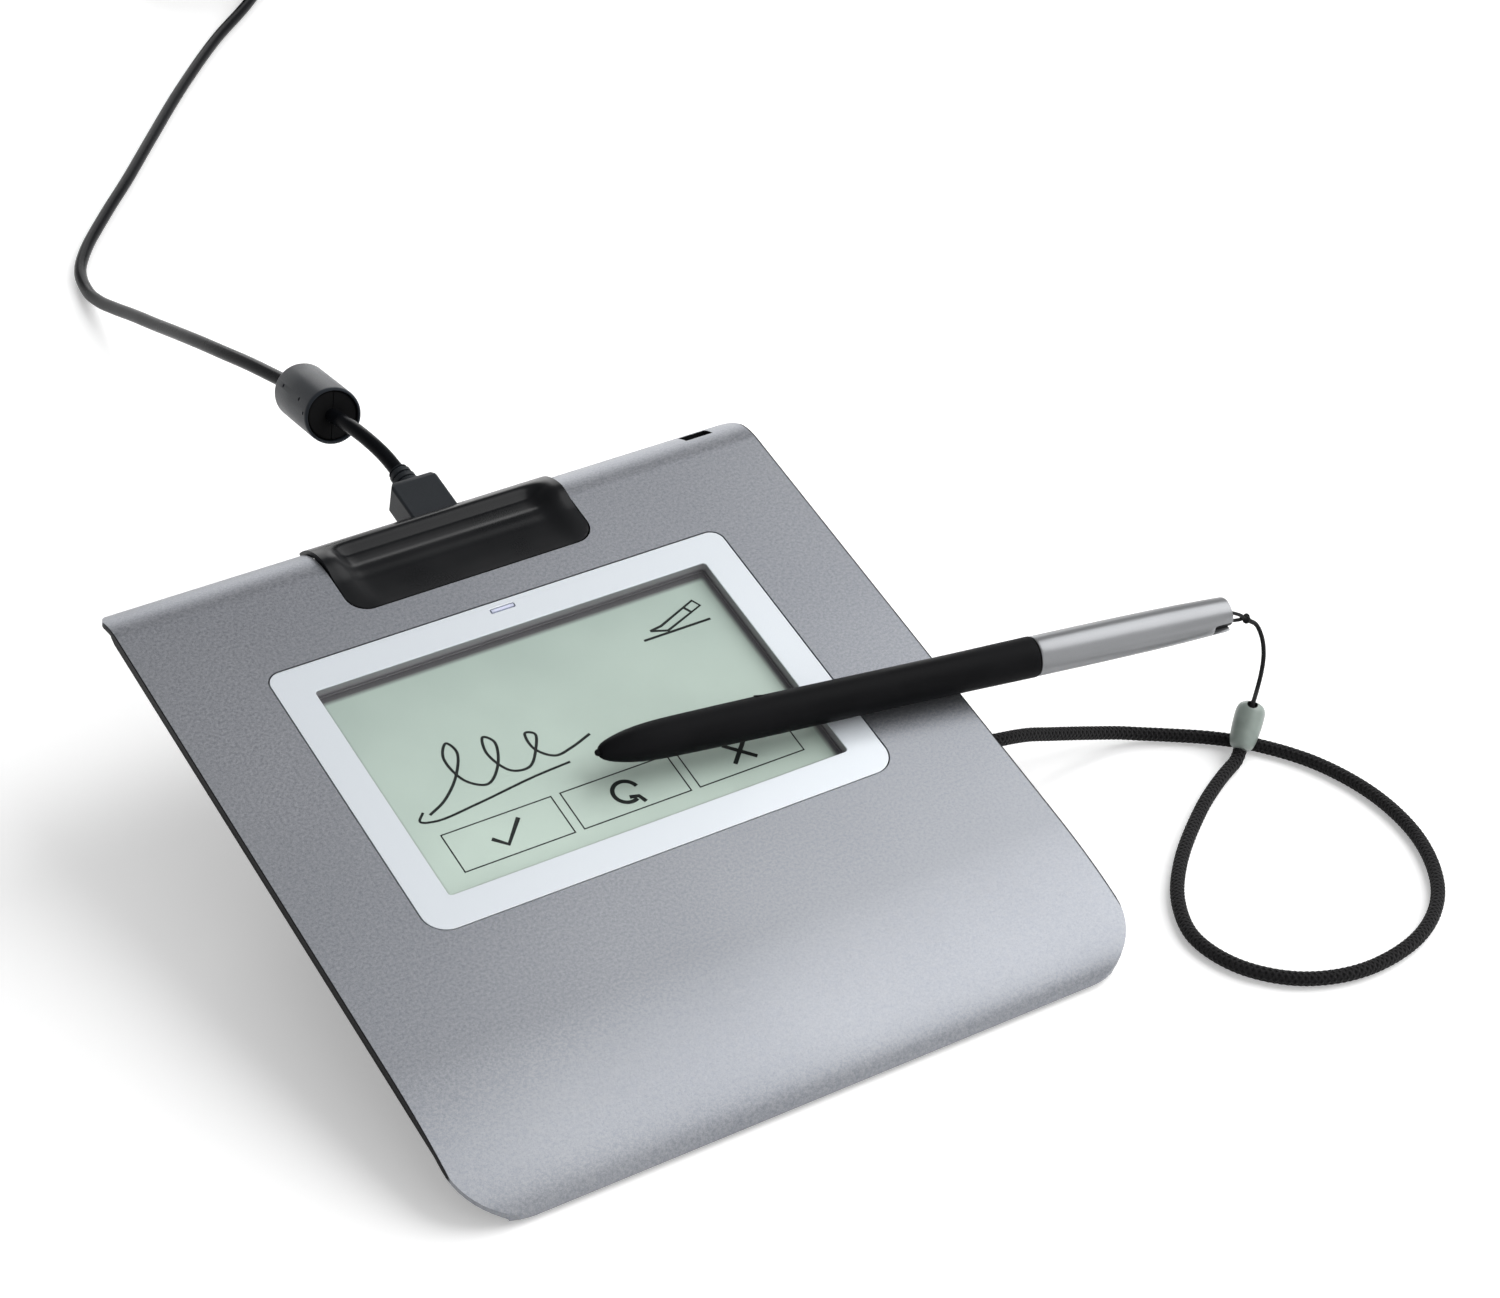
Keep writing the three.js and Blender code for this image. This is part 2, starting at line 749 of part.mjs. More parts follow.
function bottomShell() {
  const levels = shellLevels();
  const outer = loft(levels.map((level) => shellRing(level, 0, level.z)));
  const innerLevels = [...levels.slice(0, 3), mixedLevel(levels[2], levels[3], shellInnerFloor)];
  const innerRings = innerLevels.map((level) => shellRing(level, shellWall, level.z));
  innerRings[0] = shellRing(levels[0], shellWall, cutOver);
  const edge = coverThickness + fitGap;
  const line = coverLine(edge);
  const rearEnd = line[line.length - 1];
  const rearRim = -edgeDrop - coverThickness - fitGap;
  const underCover = prismX([
    [frontY - cutOver, -edgeDrop - fitGap],
    [line[0][0], -edgeDrop - fitGap],
    ...line,
    [rearEnd[0], rearRim],
    [rearY + cutOver, rearRim],
    [rearY + cutOver, cutOver],
    [frontY - cutOver, cutOver],
  ], -bodyWidth, bodyWidth);
  const tray = cutBy(outer, loft(innerRings), underCover);
  const bosses = screwPlaces().map(([x, y]) => discZ(bossRadius, -bodyThickness + cutOver / 2, -bossSplit - fitGap, x, y));
  const seats = screwPlaces().map(([x, y]) => (
    discZ(screwHeadRadius + fitGap, -bodyThickness - cutOver, -bodyThickness + counterboreRoof, x, y)
  ));
  const bores = screwPlaces().map(([x, y]) => discZ(screwRadius + fitGap, -bodyThickness, cutOver, x, y, 12));
  return cutBy(
    joined(tray, recessHousing(), anchorHousing(outer), ...bosses),
    recessTool(), hingeRecessTool(), scoopTool(), pinBoreTool(), anchorPocketTool(), plugPocketTool(),
    footTool(), ...rearFootPlaces().map((x) => rearFootDisc(x, rearFootRadius + fitGap, 0)), ...seats, ...bores,
  );
}

// The stand folds into this recess
function recessHousing() {
  const half = recessHalfWidth + recessSideWall;
  return joined(
    box(-half, half, recessFrontY - recessWall, recessRearY + recessWall, -bodyThickness + cutOver / 2, recessRoof + recessWall),
    box(-half, half, hingeY - barrelRadius - fitGap - recessWall, recessRearY + recessWall, -bodyThickness + cutOver / 2,
      -hingeDrop + barrelRadius + fitGap + recessWall),
  );
}

function recessTool() {
  return box(-recessHalfWidth, recessHalfWidth, recessFrontY, recessRearY, -bodyThickness - cutOver, recessRoof);
}

function hingeRecessTool() {
  const reach = barrelRadius + fitGap;
  return box(-recessHalfWidth, recessHalfWidth, hingeY - reach, recessRearY, -bodyThickness - cutOver, -hingeDrop + reach);
}

function scoopTool() {
  const scoop = discZ(scoopRadius, -bodyThickness - cutOver, recessRoof, 0, recessFrontY);
  return scoop;
}

function pinBoreTool() {
  const reach = recessHalfWidth + recessSideWall - recessWall;
  return rodX(hingePinRadius + fitGap, -reach, reach, hingeY, -hingeDrop, 12);
}

// The pocket for the tether anchor opens downwards and to the side
function anchorHousing(outer) {
  const inner = anchorX - anchorPocketInner - anchorPocketWall;
  const half = anchorWidth / 2 + fitGap + anchorPocketWall;
  const block = box(inner, bodyWidth / 2, anchorY - half, anchorY + half, -bodyThickness, -anchorPocketRoof + anchorPocketWall);
  return common(block, outer);
}

function anchorPocketTool() {
  const half = anchorWidth / 2 + fitGap;
  return box(
    anchorX - anchorPocketInner, bodyWidth / 2 + cutOver, anchorY - half, anchorY + half,
    -bodyThickness - cutOver, -anchorPocketRoof,
  );
}

function plugPocketTool() {
  const half = plugWidth / 2 + fitGap;
  return box(usbX - half, usbX + half, pocketFrontY, rearY + cutOver, -bodyThickness - cutOver, cutOver);
}

function footTool() {
  const half = frontFootDepth / 2 + fitGap;
  const top = -bodyThickness + footRecess;
  const width = frontFootWidth + 2 * fitGap;
  return box(-width / 2, width / 2, contactY - half, contactY + half, -bodyThickness - cutOver, top);
}

// Front foot: a rubber strip whose lower face lies flat on the desk at the working tilt
function frontFoot() {
  const half = frontFootDepth / 2;
  const top = -bodyThickness + footRecess - fitGap;
  return prismX([
    [contactY - half, floorZ(contactY - half)],
    [contactY + half, floorZ(contactY + half)],
    [contactY + half, top],
    [contactY - half, top],
  ], -frontFootWidth / 2, frontFootWidth / 2);
}

function rearFootPlaces() {
  return [-rearFootX, rearFootX];
}

function rearFootDisc(x, radius, proud) {
  const top = -bodyThickness + footRecess - (proud ? fitGap : 0);
  const bottom = proud ? -bodyThickness - proud : -bodyThickness - cutOver;
  return discZ(radius, bottom, top, x, rearY - rearFootFromRear);
}

function rearFoot(x) {
  return rearFootDisc(x, rearFootRadius, rearFootProud);
}

function bezelFrame() {
  const plate = roundedPlate(bezelWidth, bezelDepth, bezelRadius, -bezelHeight, 0, windowCentreY);
  const wide = 2 * bezelFlange;
  const flange = roundedPlate(
    bezelWidth + wide, bezelDepth + wide, bezelRadius + bezelFlange, -bezelHeight, -coverThickness - fitGap, windowCentreY,
  );
  const open = roundedPlate(windowWidth, windowDepth, windowRadius, -bezelHeight - cutOver, cutOver, windowCentreY, 2);
  const bar = slab(ledBarWidth + 2 * fitGap, ledBarDepth + 2 * fitGap, -bezelHeight - cutOver, cutOver, 0, ledBarY);
  return cutBy(joined(plate, flange), open, bar);
}

function lightPipe() {
  const stem = slab(ledBarWidth, ledBarDepth, sensorTop + 2 * fitGap + ledHeight, 0, 0, ledBarY);
  return stem;
}

function statusLed() {
  const bottom = sensorTop + fitGap;
  return slab(ledBarWidth / 2, ledBarDepth * 2, bottom, bottom + ledHeight, 0, ledBarY);
}

function lcdHolder() {
  const width = glassWidth + 2 * (fitGap + holderWall);
  const depth = glassDepth + 2 * (fitGap + holderWall);
  const block = slab(width, depth, holderBottom, glassTop, 0, windowCentreY);
  const seat = slab(glassWidth + 2 * fitGap, glassDepth + 2 * fitGap, holderBottom + holderLipThickness, cutOver, 0, windowCentreY);
  const hole = slab(lcdWidth - 2 * holderLip, lcdDepth - 2 * holderLip, holderBottom - cutOver, cutOver, 0, windowCentreY);
  return cutBy(block, seat, hole);
}

// Main board with a notch round the sunk USB socket
function mainBoard() {
  const y1 = pocketFrontY - cutOver;
  const half = socketWidth / 2 + fitGap;
  return cutBy(
    box(-boardWidth / 2, boardWidth / 2, y1 - boardDepth, y1, boardTop - boardThickness, boardTop),
    box(usbX - half, usbX + half, socketFrontY - fitGap, y1 + cutOver, boardTop - cutOver * 2, boardTop + cutOver),
  );
}

function usbSocket() {
  const half = socketWidth / 2;
  const z0 = -usbAxisDrop - socketHeight / 2;
  const z1 = -usbAxisDrop + socketHeight / 2;
  return cutBy(
    box(usbX - half, usbX + half, socketFrontY, pocketFrontY, z0, z1),
    box(usbX - half + socketWall, usbX + half - socketWall, socketFrontY + socketWall, pocketFrontY + cutOver,
      z0 + socketWall, z1 - socketWall),
  );
}

// Ribbon from the sensor board over the hinge housing to the main board
function ribbon() {
  const roof = -hingeDrop + barrelRadius + fitGap + recessWall + fitGap;
  const y0 = windowCentreY + sensorDepth / 2 + fitGap;
  const y1 = recessRearY + recessWall + fitGap;
  const y2 = y1 + boardDepth / 4;
  const low = boardTop + fitGap;
  const t = ribbonThickness;
  return prismX([
    [y0, roof],
    [y1, roof],
    [y1, low],
    [y2, low],
    [y2, low + t],
    [y1 + t, low + t],
    [y1 + t, roof + t],
    [y0, roof + t],
  ], ribbonX - ribbonWidth / 2, ribbonX + ribbonWidth / 2);
}

// Pen rest: depth of its groove, as shares of the rest's depth and of the groove's depth
const grooveShares = [
  [0, 0], [0.06, 0.1], [0.2, 0.3], [0.36, 0.46], [0.44, 0.52], [0.5, 0.66], [0.57, 0.93],
  [0.62, 1], [0.67, 0.97], [0.72, 0.7], [0.78, 0.22], [0.83, 0.02], [0.88, 0], [1, 0],
];

function grooveShareAt(t) {
  const next = grooveShares.findIndex(([place]) => place >= t);
  if (next <= 0) {
    return grooveShares[0][1];
  }
  const [a, b] = [grooveShares[next - 1], grooveShares[next]];
  return a[1] + ((b[1] - a[1]) * (t - a[0])) / (b[0] - a[0]);
}

function restTop(x, y) {
  const share = (y - restFrontY) / restDepth;
  const ends = smoothStep((restWidth / 2 - grooveEndMargin - Math.abs(x)) / grooveEndBlend);
  const proud = restBulge * smoothStep((y - rearArcY + restBulgeLength / 2) / restBulgeLength);
  return coverHeight(Math.min(y, rearY)) + proud - grooveDepth * grooveShareAt(share) * ends;
}

function penRest() {
  const half = restWidth / 2;
  const ramp = spread(half, half - grooveEndMargin - grooveEndBlend, 5);
  const xs = [...ramp.map((x) => -x), 0, ...ramp.slice().reverse()];
  const ys = [...grooveShares.map(([t]) => restFrontY + t * restDepth)];
  ys.splice(ys.length - 1, 0, restFrontY + restDepth * 0.92, restFrontY + restDepth * 0.96);
  const sheet = sheetBody(xs, ys, restTop, restThickness);
  const plan = prismZ(planPoints(half, restFrontY, rearY + restDepth, restRadius, restRadius), -bodyThickness, restThickness * 2);
  const pocketHalf = plugWidth / 2 + fitGap;
  const pocket = box(
    usbX - pocketHalf, usbX + pocketHalf, pocketFrontY, rearY + cutOver,
    -bodyThickness - cutOver, -usbAxisDrop + plugHeight / 2 + fitGap,
  );
  return cutBy(common(sheet, plan), pocket);
}

// Stand leg, modelled open, in the hinge's own frame
function standLeg() {
  const bottom = -(legLength - standFootHeight);
  const outline = new THREE.Shape();
  const [top, low] = [legWidth / 2, legFootWidth / 2];
  const r = legCornerRadius;
  outline.moveTo(-top, 0);
  outline.lineTo(-top, -barrelRadius * 2);
  outline.lineTo(-low, bottom + r);
  outline.quadraticCurveTo(-low, bottom, -low + r, bottom);
  outline.lineTo(low - r, bottom);
  outline.quadraticCurveTo(low, bottom, low, bottom + r);
  outline.lineTo(top, -barrelRadius * 2);
  outline.lineTo(top, 0);
  const plate = new THREE.ExtrudeGeometry(outline, { depth: legThickness, bevelEnabled: false, curveSegments: 6 });
  plate.rotateX(Math.PI / 2);
  plate.translate(0, legRearFace, 0);
  const barrel = rodX(barrelRadius, -legWidth / 2, legWidth / 2, 0, 0, 20);
  const bores = [-1, 1].map((side) => (
    rodX(hingePinRadius + fitGap, side > 0 ? pinX - hingePinDepth : -pinX - cutOver,
      side > 0 ? pinX + cutOver : -pinX + hingePinDepth, 0, 0, 12)
  ));
  const panel = box(
    -legFootWidth * 0.36, legFootWidth * 0.36, legFrontFace - cutOver, legFrontFace + legThickness * 0.35,
    bottom + legCornerRadius, -barrelRadius * 3,
  );
  const ribs = [-1, 0, 1].map((k) => box(
    k * legFootWidth * 0.2 - recessWall / 2, k * legFootWidth * 0.2 + recessWall / 2,
    legFrontFace, legFrontFace + legThickness / 2, bottom + legCornerRadius / 2, -barrelRadius * 2,
  ));
  return cutBy(joined(cutBy(joined(barrel, plate), panel), ...ribs), ...bores);
}

// Rubber strip under the leg, cut level with the desk
function standFoot() {
  const top = -(legLength - standFootHeight) - fitGap;
  const local = (y) => floorZ(hingeY + y) + hingeDrop;
  const half = legFootWidth / 2 - legCornerRadius / 2;
  return prismX([
    [legFrontFace, local(legFrontFace)],
    [legRearFace, local(legRearFace)],
    [legRearFace, top],
    [legFrontFace, top],
  ], -half, half);
}

function hingePin(side) {
  const inner = pinX - hingePinDepth + fitGap;
  const outer = recessHalfWidth + recessSideWall - recessWall - fitGap;
  return rodX(hingePinRadius, side > 0 ? inner : -outer, side > 0 ? outer : -inner, hingeY, -hingeDrop, 12);
}

function housingScrew([x, y]) {
  const seat = -bodyThickness + counterboreRoof - fitGap;
  const head = discZ(screwHeadRadius, seat - screwHeadHeight, seat, x, y);
  const shank = discZ(screwRadius, seat - screwHeadHeight / 2, -screwTipDrop, x, y, 12);
  const drive = slab(screwHeadRadius * 1.3, screwRadius / 2, seat - screwHeadHeight * 2, seat - screwHeadHeight * 0.6, x, y);
  const cross = slab(screwRadius / 2, screwHeadRadius * 1.3, seat - screwHeadHeight * 2, seat - screwHeadHeight * 0.6, x, y);
  return cutBy(joined(head, shank), drive, cross);
}

function tetherAnchor() {
  const half = anchorWidth / 2;
  const plate = box(
    anchorX, anchorOuterX, anchorY - half, anchorY + half, -bodyThickness + fitGap, -anchorPocketRoof - fitGap,
  );
  const hole = rodX(tetherDiameter / 2 + fitGap, anchorX - cutOver, anchorOuterX + cutOver, anchorY, -anchorHoleDrop, 14);
  return cutBy(plate, hole);
}

function tetherStopKnot() {
  const ball = new THREE.SphereGeometry(knotRadius, 12, 8);
  ball.scale(knotSquash, 1, 1);
  ball.translate(anchorX - fitGap - knotRadius * knotSquash, anchorY, -anchorHoleDrop);
  return tidy(ball);
}

// Pen: grip outline as distance and radius, in shares of the nose length and of the widest radius
const noseLength = 15;
const noseShares = [
  [0.04, 0.26], [0.1, 0.35], [0.2, 0.5], [0.33, 0.61], [0.4, 0.68], [0.53, 0.79], [0.67, 0.85], [0.8, 0.89], [1, 0.92],
];
const bodyShares = [[0.13, 0.94], [0.24, 0.975], [0.4, 0.965], [0.55, 0.97], [0.68, 1]];

function penRadiusAt(s) {
  const table = [
    ...noseShares.map(([a, b]) => [a * noseLength, b * penMaxRadius]),
    ...bodyShares.map(([a, b]) => [a * penLength, b * penMaxRadius]),
  ];
  const next = table.findIndex(([place]) => place >= s);
  const [a, b] = [table[Math.max(next - 1, 0)], table[Math.max(next, 1)]];
  return a[1] + ((b[1] - a[1]) * (s - a[0])) / (b[0] - a[0]);
}

function penGrip() {
  const bore = nibRadius + fitGap;
  const start = noseShares[0][0] * noseLength + nibProud;
  const hollow = penCoilRadius + fitGap + penWall / 9;
  const spigot = penMaxRadius - penWall - fitGap;
  const outer = noseShares.map(([a, b]) => [nibProud + a * noseLength, b * penMaxRadius]);
  const body = bodyShares.slice(0, -1).map(([a, b]) => [a * penLength, b * penMaxRadius]);
  return turnedX([
    [start, bore],
    ...outer,
    ...body,
    [gripLength, penMaxRadius],
    [gripLength, spigot],
    [gripLength + gripSpigotLength, spigot],
    [gripLength + gripSpigotLength, spigot - penWall],
    [gripLength - gripSpigotLength, spigot - penWall],
    [gripLength - 2 * gripSpigotLength, hollow],
    [penCoilStart - fitGap, hollow],
    [penCoilStart - fitGap, bore],
    [start, bore],
  ], 28);
}

function penBarrel() {
  const start = gripLength + fitGap;
  const inner = penMaxRadius - penWall;
  const endInner = penEndRadius - penWall;
  const shell = turnedX([
    [start, inner],
    [start, penMaxRadius * 0.965],
    [start + penWall / 2, penMaxRadius * 0.98],
    [gripLength + (penLength - gripLength) * 0.33, penMaxRadius * 0.985],
    [gripLength + (penLength - gripLength) * 0.7, penMaxRadius * 0.955],
    [gripLength + (penLength - gripLength) * 0.88, penMaxRadius * 0.905],
    [penLength - penWall / 3, penEndRadius],
    [penLength, penEndRadius - penWall / 3],
    [penLength, endInner],
    [endInsertStart, endInner],
    [endInsertStart - penWall * 3, inner],
    [start, inner],
  ], 28);
  return cutBy(shell, endKeyTool(endKeyWidth + 2 * fitGap, endKeyLength + fitGap, penEndRadius * 2));
}

// The key slot in the barrel's end faces down and to the front
function endKeyTool(width, length, reach) {
  const key = box(penLength - length, penLength + cutOver, -width / 2, width / 2, -reach, 0);
  key.rotateX(-35 * deg);
  return key;
}

function penEndInsert() {
  const radius = penEndRadius - penWall - fitGap;
  const end = penLength + endInsertProud;
  const plug = turnedX([
    [endInsertStart + fitGap, 0],
    [endInsertStart + fitGap, radius],
    [end, radius],
    [end, 0],
  ], 20);
  const fork = box(endForkStart, end + cutOver, -endForkGap / 2, endForkGap / 2, -penEndRadius, penEndRadius);
  const key = common(
    endKeyTool(endKeyWidth, endKeyLength, penEndRadius * 2),
    rodX(penEndRadius - fitGap, penLength - endKeyLength, penLength, 0, 0, 20),
  );
  const inside = rodX(radius - penWall / 2, endInsertStart, end + cutOver, 0, 0, 12);
  const bar = rodY(crossbarRadius, -radius * 0.9, radius * 0.9, penLength - crossbarFromEnd, 0, 10);
  return joined(cutBy(joined(plug, cutBy(key, inside)), fork), bar);
}

function penNib() {
  return turnedX([
    [0, 0],
    [nibRadius * 0.2, nibRadius * 0.6],
    [nibRadius * 0.6, nibRadius * 0.9],
    [nibRadius * 1.2, nibRadius],
    [nibLength, nibRadius],
    [nibLength, 0],
  ], 14);
}

function penCoil() {
  return turnedX([
    [penCoilStart, 0],
    [penCoilStart, penCoilRadius],
    [penCoilStart + penCoilLength, penCoilRadius],
    [penCoilStart + penCoilLength, 0],
  ], 16);
}

function penBoard() {
  const start = penCoilStart + penCoilLength + 2 * fitGap;
  return box(start, start + penBoardLength, -penBoardWidth / 2, penBoardWidth / 2, -ribbonThickness, boardThickness - ribbonThickness);
}

// Bead, from its lower mouth along X
const beadStart = new THREE.Vector3(...tetherLine[tetherLine.length - 1]);
const beadEnd = new THREE.Vector3(...threadLine[0]);
const beadLength = beadEnd.distanceTo(beadStart) - 2 * fitGap;

function tetherBead() {
  const r = beadRadius;
  return turnedX([
    [0, 0],
    [0, r * 0.55],
    [r * 0.16, r * 0.72],
    [r * 0.5, r * 0.86],
    [beadLength * 0.35, r * 0.95],
    [beadLength * 0.72, r],
    [beadLength * 0.86, r * 0.95],
    [beadLength * 0.95, r * 0.8],
    [beadLength, r * 0.6],
    [beadLength, 0],
  ], 20);
}

// The thread's end loop round the pen's crossbar, in the pen's frame
function threadLoop() {
  const bar = new THREE.Vector3(penLength - crossbarFromEnd, 0, 0);
  const knot = new THREE.Vector3(penLength + threadKnotFromEnd, 0, -threadKnotDrop);
  const along = knot.clone().sub(bar);
  const length = along.length() - threadKnotRadius - fitGap - loopDiameter / 2;
  along.normalize();
  const across = new THREE.Vector3(-along.z, 0, along.x);
  const half = crossbarRadius + fitGap + loopDiameter / 2;
  const points = Array.from({ length: 20 }, (_, i) => {
    const angle = (2 * Math.PI * i) / 20;
    const reach = Math.cos(angle) < 0 ? half * Math.cos(angle) : length * Math.cos(angle);
    return bar.clone().addScaledVector(along, reach).addScaledVector(across, half * Math.sin(angle));
  });
  return closedTube(points, loopDiameter / 2, 8);
}

// A closed tube whose points lie in the X-Z plane
function closedTube(points, radius, sides) {
  const flat = points.map((p) => new THREE.Vector3(p.x, p.z, p.y));
  const tube = sweep(flat, radius, sides, true);
  const turn = new THREE.Matrix4().makeBasis(
    new THREE.Vector3(1, 0, 0),
    new THREE.Vector3(0, 0, 1),
    new THREE.Vector3(0, 1, 0),
  );
  return faceOut(tube.applyMatrix4(turn));
}

function threadKnot() {
  const ball = new THREE.SphereGeometry(threadKnotRadius, 10, 7);
  ball.translate(penLength + threadKnotFromEnd, 0, -threadKnotDrop);
  return tidy(ball);
}

// USB plug that goes into the pad
function plugBody() {
  const [w, h, c] = [plugWidth / 2, plugHeight / 2, plugChamfer];
  const section = [
    [-w + c, -h], [w - c, -h], [w, -h + c], [w, h - c], [w - c, h], [-w + c, h], [-w, h - c], [-w, -h + c],
  ];
  const ring = (y, share) => section.map(([x, z]) => new THREE.Vector3(usbX + x * share, y, -usbAxisDrop + z));
  return loft([
    ring(plugFrontY, 1),
    ring(plugRearY - plugRearSlope, 1),
    ring(plugRearY, plugRearShare),
  ]);
}

function plugShell() {
  const [w, h, t] = [plugShellWidth / 2, plugShellHeight / 2, plugShellWall];
  const y1 = plugFrontY - fitGap;
  const y0 = y1 - plugShellReach;
  return cutBy(
    box(usbX - w, usbX + w, y0, y1, -usbAxisDrop - h, -usbAxisDrop + h),
    box(usbX - w + t, usbX + w - t, y0 - cutOver, y1 - t, -usbAxisDrop - h + t, -usbAxisDrop + h - t),
  );
}

// Ribbed collar, along Y
function plugCollar() {
  const ribs = 3;
  const step = collarLength / ribs;
  const profile = [[0, 0], [0, collarRadius]];
  for (let i = 0; i < ribs; i++) {
    const radius = collarRadius + ((collarEndRadius - collarRadius) * i) / ribs;
    const groove = radius * 0.78;
    profile.push([step * (i + 0.55), radius], [step * (i + 0.62), groove], [step * (i + 0.93), groove]);
    profile.push([step * (i + 1), radius * 0.97]);
  }
  profile.push([collarLength, 0]);
  const collar = turnedX(profile, 16);
  collar.rotateZ(Math.PI / 2);
  collar.translate(usbX, collarY, -usbAxisDrop);
  return collar;
}

// Ferrite: a moulded cover round a core, along X
function ferriteCover() {
  const [r, l, c] = [ferriteRadius, ferriteLength, ferriteRound];
  const hole = ferriteCoreRadius + fitGap;
  const cover = turnedX([
    [0, hole],
    [0, r - c * 0.15],
    [c * 0.15, r],
    [l - c, r],
    [l - c * 0.3, r - c * 0.3],
    [l, r - c],
    [l, usbCordDiameter / 2 + fitGap],
    [l - c, usbCordDiameter / 2 + fitGap],
    [l - c, hole],
    [0, hole],
  ], 24);
  const pins = ferriteDots.map(([along, turn]) => {
    const pin = rodY(ferriteDotRadius, hole - cutOver / 2, r + cutOver, along, 0, 8);
    pin.rotateX(turn * deg);
    return pin;
  });
  return cutBy(cover, ...pins);
}

function ferriteCore() {
  return turnedX([
    [ferriteRound / 2, 0],
    [ferriteRound / 2, ferriteCoreRadius],
    [ferriteLength - ferriteRound - fitGap, ferriteCoreRadius],
    [ferriteLength - ferriteRound - fitGap, 0],
  ], 20);
}

// The coil's path: layers that spiral in and out and climb in the half turn where they reverse
const coilTurns = coilLayers * coilTurnsPerLayer + (coilLayers - 1) / 2;
const tailLength = curveOf([[0, 0, 0], ...usbTailRoute]).getLength();
const freeLength = curveOf(usbShortLine).getLength() + ferriteLength + curveOf(usbRunLine).getLength() + tailLength;
const coilSpan = (coilTurnsPerLayer + 0.25) * coilPitch;
const coilMeanRadius = (usbCordLength - freeLength - 2 * usbCordDiameter) / (2 * Math.PI * coilTurns);
const coilOuterRadius = coilMeanRadius + coilSpan / 2;

function coilPoint(turn) {
  const period = coilTurnsPerLayer + 0.5;
  const layer = Math.min(coilLayers - 1, Math.floor((turn + 0.25) / period));
  const inLayer = turn - layer * period;
  const travel = Math.min(Math.max(inLayer, -0.25), coilTurnsPerLayer + 0.25);
  const inward = layer % 2 === 0 ? travel : coilTurnsPerLayer - travel;
  const radius = coilOuterRadius - inward * coilPitch;
  const climbed = smoothStep((inLayer + 0.5) / 0.5) + smoothStep((inLayer - coilTurnsPerLayer) / 0.5);
  const level = layer === 0 ? climbed - 1 : layer + climbed - 1;
  const height = Math.max(0, Math.min(level, coilLayers - 1));
  return { radius, z: usbCordDiameter / 2 + coilFloorGap + coilPitch * height };
}

const coilAngle = coilStartHeading - Math.PI / 2;
const coilCentre = new THREE.Vector3(
  coilStart[0] + usbExit.x - usbShortRoute[0][0] - coilOuterRadius * Math.cos(coilAngle),
  coilStart[1] + usbExit.y - usbShortRoute[0][1] - coilOuterRadius * Math.sin(coilAngle),
  0,
);

function coilPath() {
  const count = Math.round(coilTurns * coilLoopSteps);
  const points = Array.from({ length: count + 1 }, (_, i) => {
    const turn = (coilTurns * i) / count;
    const { radius, z } = coilPoint(turn);
    const angle = coilAngle + 2 * Math.PI * turn;
    return new THREE.Vector3(radius * Math.cos(angle), radius * Math.sin(angle), z).add(coilCentre);
  });
  const straight = (end, next) => {
    const out = end.clone().sub(next);
    out.z = 0;
    return end.clone().addScaledVector(out.normalize(), usbCordDiameter);
  };
  return [straight(points[0], points[1]), ...points, straight(points[points.length - 1], points[points.length - 2])];
}

function leastGap(points, diameter) {
  const clear = Math.ceil(coilLoopSteps / 4);
  let least = Infinity;
  for (let i = 0; i < points.length; i++) {
    for (let j = i + clear; j < points.length; j++) {
      least = Math.min(least, points[i].distanceTo(points[j]));
    }
  }
  return least - diameter;
}

const coilLine = coilPath();
const coilBase = coilLine[0];
const coilTop = coilLine[coilLine.length - 1];
console.log(`coil: ${coilTurns} turns, mean radius ${coilMeanRadius.toFixed(2)}, `
  + `least gap to itself ${leastGap(coilLine, usbCordDiameter).toFixed(2)} mm`);

// The tie goes round the whole bundle, on the far side from the run
function coilTie() {
  const inner = coilOuterRadius - coilSpan - usbCordDiameter / 2 - fitGap;
  const outer = coilOuterRadius + coilPitch / 4 + usbCordDiameter / 2 + fitGap;
  const top = coilFloorGap + usbCordDiameter + coilPitch * (coilLayers - 1) + fitGap;
  const band = box(
    inner - tieThickness, outer + tieThickness, -tieWidth / 2, tieWidth / 2,
    coilFloorGap - fitGap - tieThickness, top + tieThickness,
  );
  const hollow = box(inner, outer, -tieWidth, tieWidth, coilFloorGap - fitGap, top);
  const tie = cutBy(band, hollow);
  tie.rotateZ(coilAngle + 200 * deg);
  tie.translate(coilCentre.x, coilCentre.y, 0);
  return tie;
}

function runRoute() {
  const heading = coilLine[1].clone().sub(coilBase).normalize();
  const end = coilBase.clone().addScaledVector(heading, -fitGap);
  const lead = coilBase.clone().addScaledVector(heading, -2 * usbCordDiameter);
  return [...usbRunLine, lead.toArray(), end.toArray()];
}

// The tail leaves the top of the coil, comes down to the desk and goes into the A plug
function tailPoints() {
  const heading = coilTop.clone().sub(coilLine[coilLine.length - 2]);
  const angle = Math.atan2(heading.y, heading.x) + Math.PI;
  const place = ([x, y, z]) => [
    coilTop.x + x * Math.cos(angle) - y * Math.sin(angle) * -1,
    coilTop.y + x * Math.sin(angle) - y * Math.cos(angle),
    coilTop.z + z,
  ];
  return [place([-fitGap, 0, 0]), place([-fitGap - usbCordDiameter, 0, 0]), ...usbTailRoute.map(place)];
}

// A plug, along X from the end of the cord, with its axis at z = 0
function aRelief() {
  return turnedX([
    [0, 0],
    [0, usbCordDiameter * 0.62],
    [aReliefLength * 0.85, aReliefRadius],
    [aReliefLength, aReliefRadius],
    [aReliefLength, 0],
  ], 14);
}

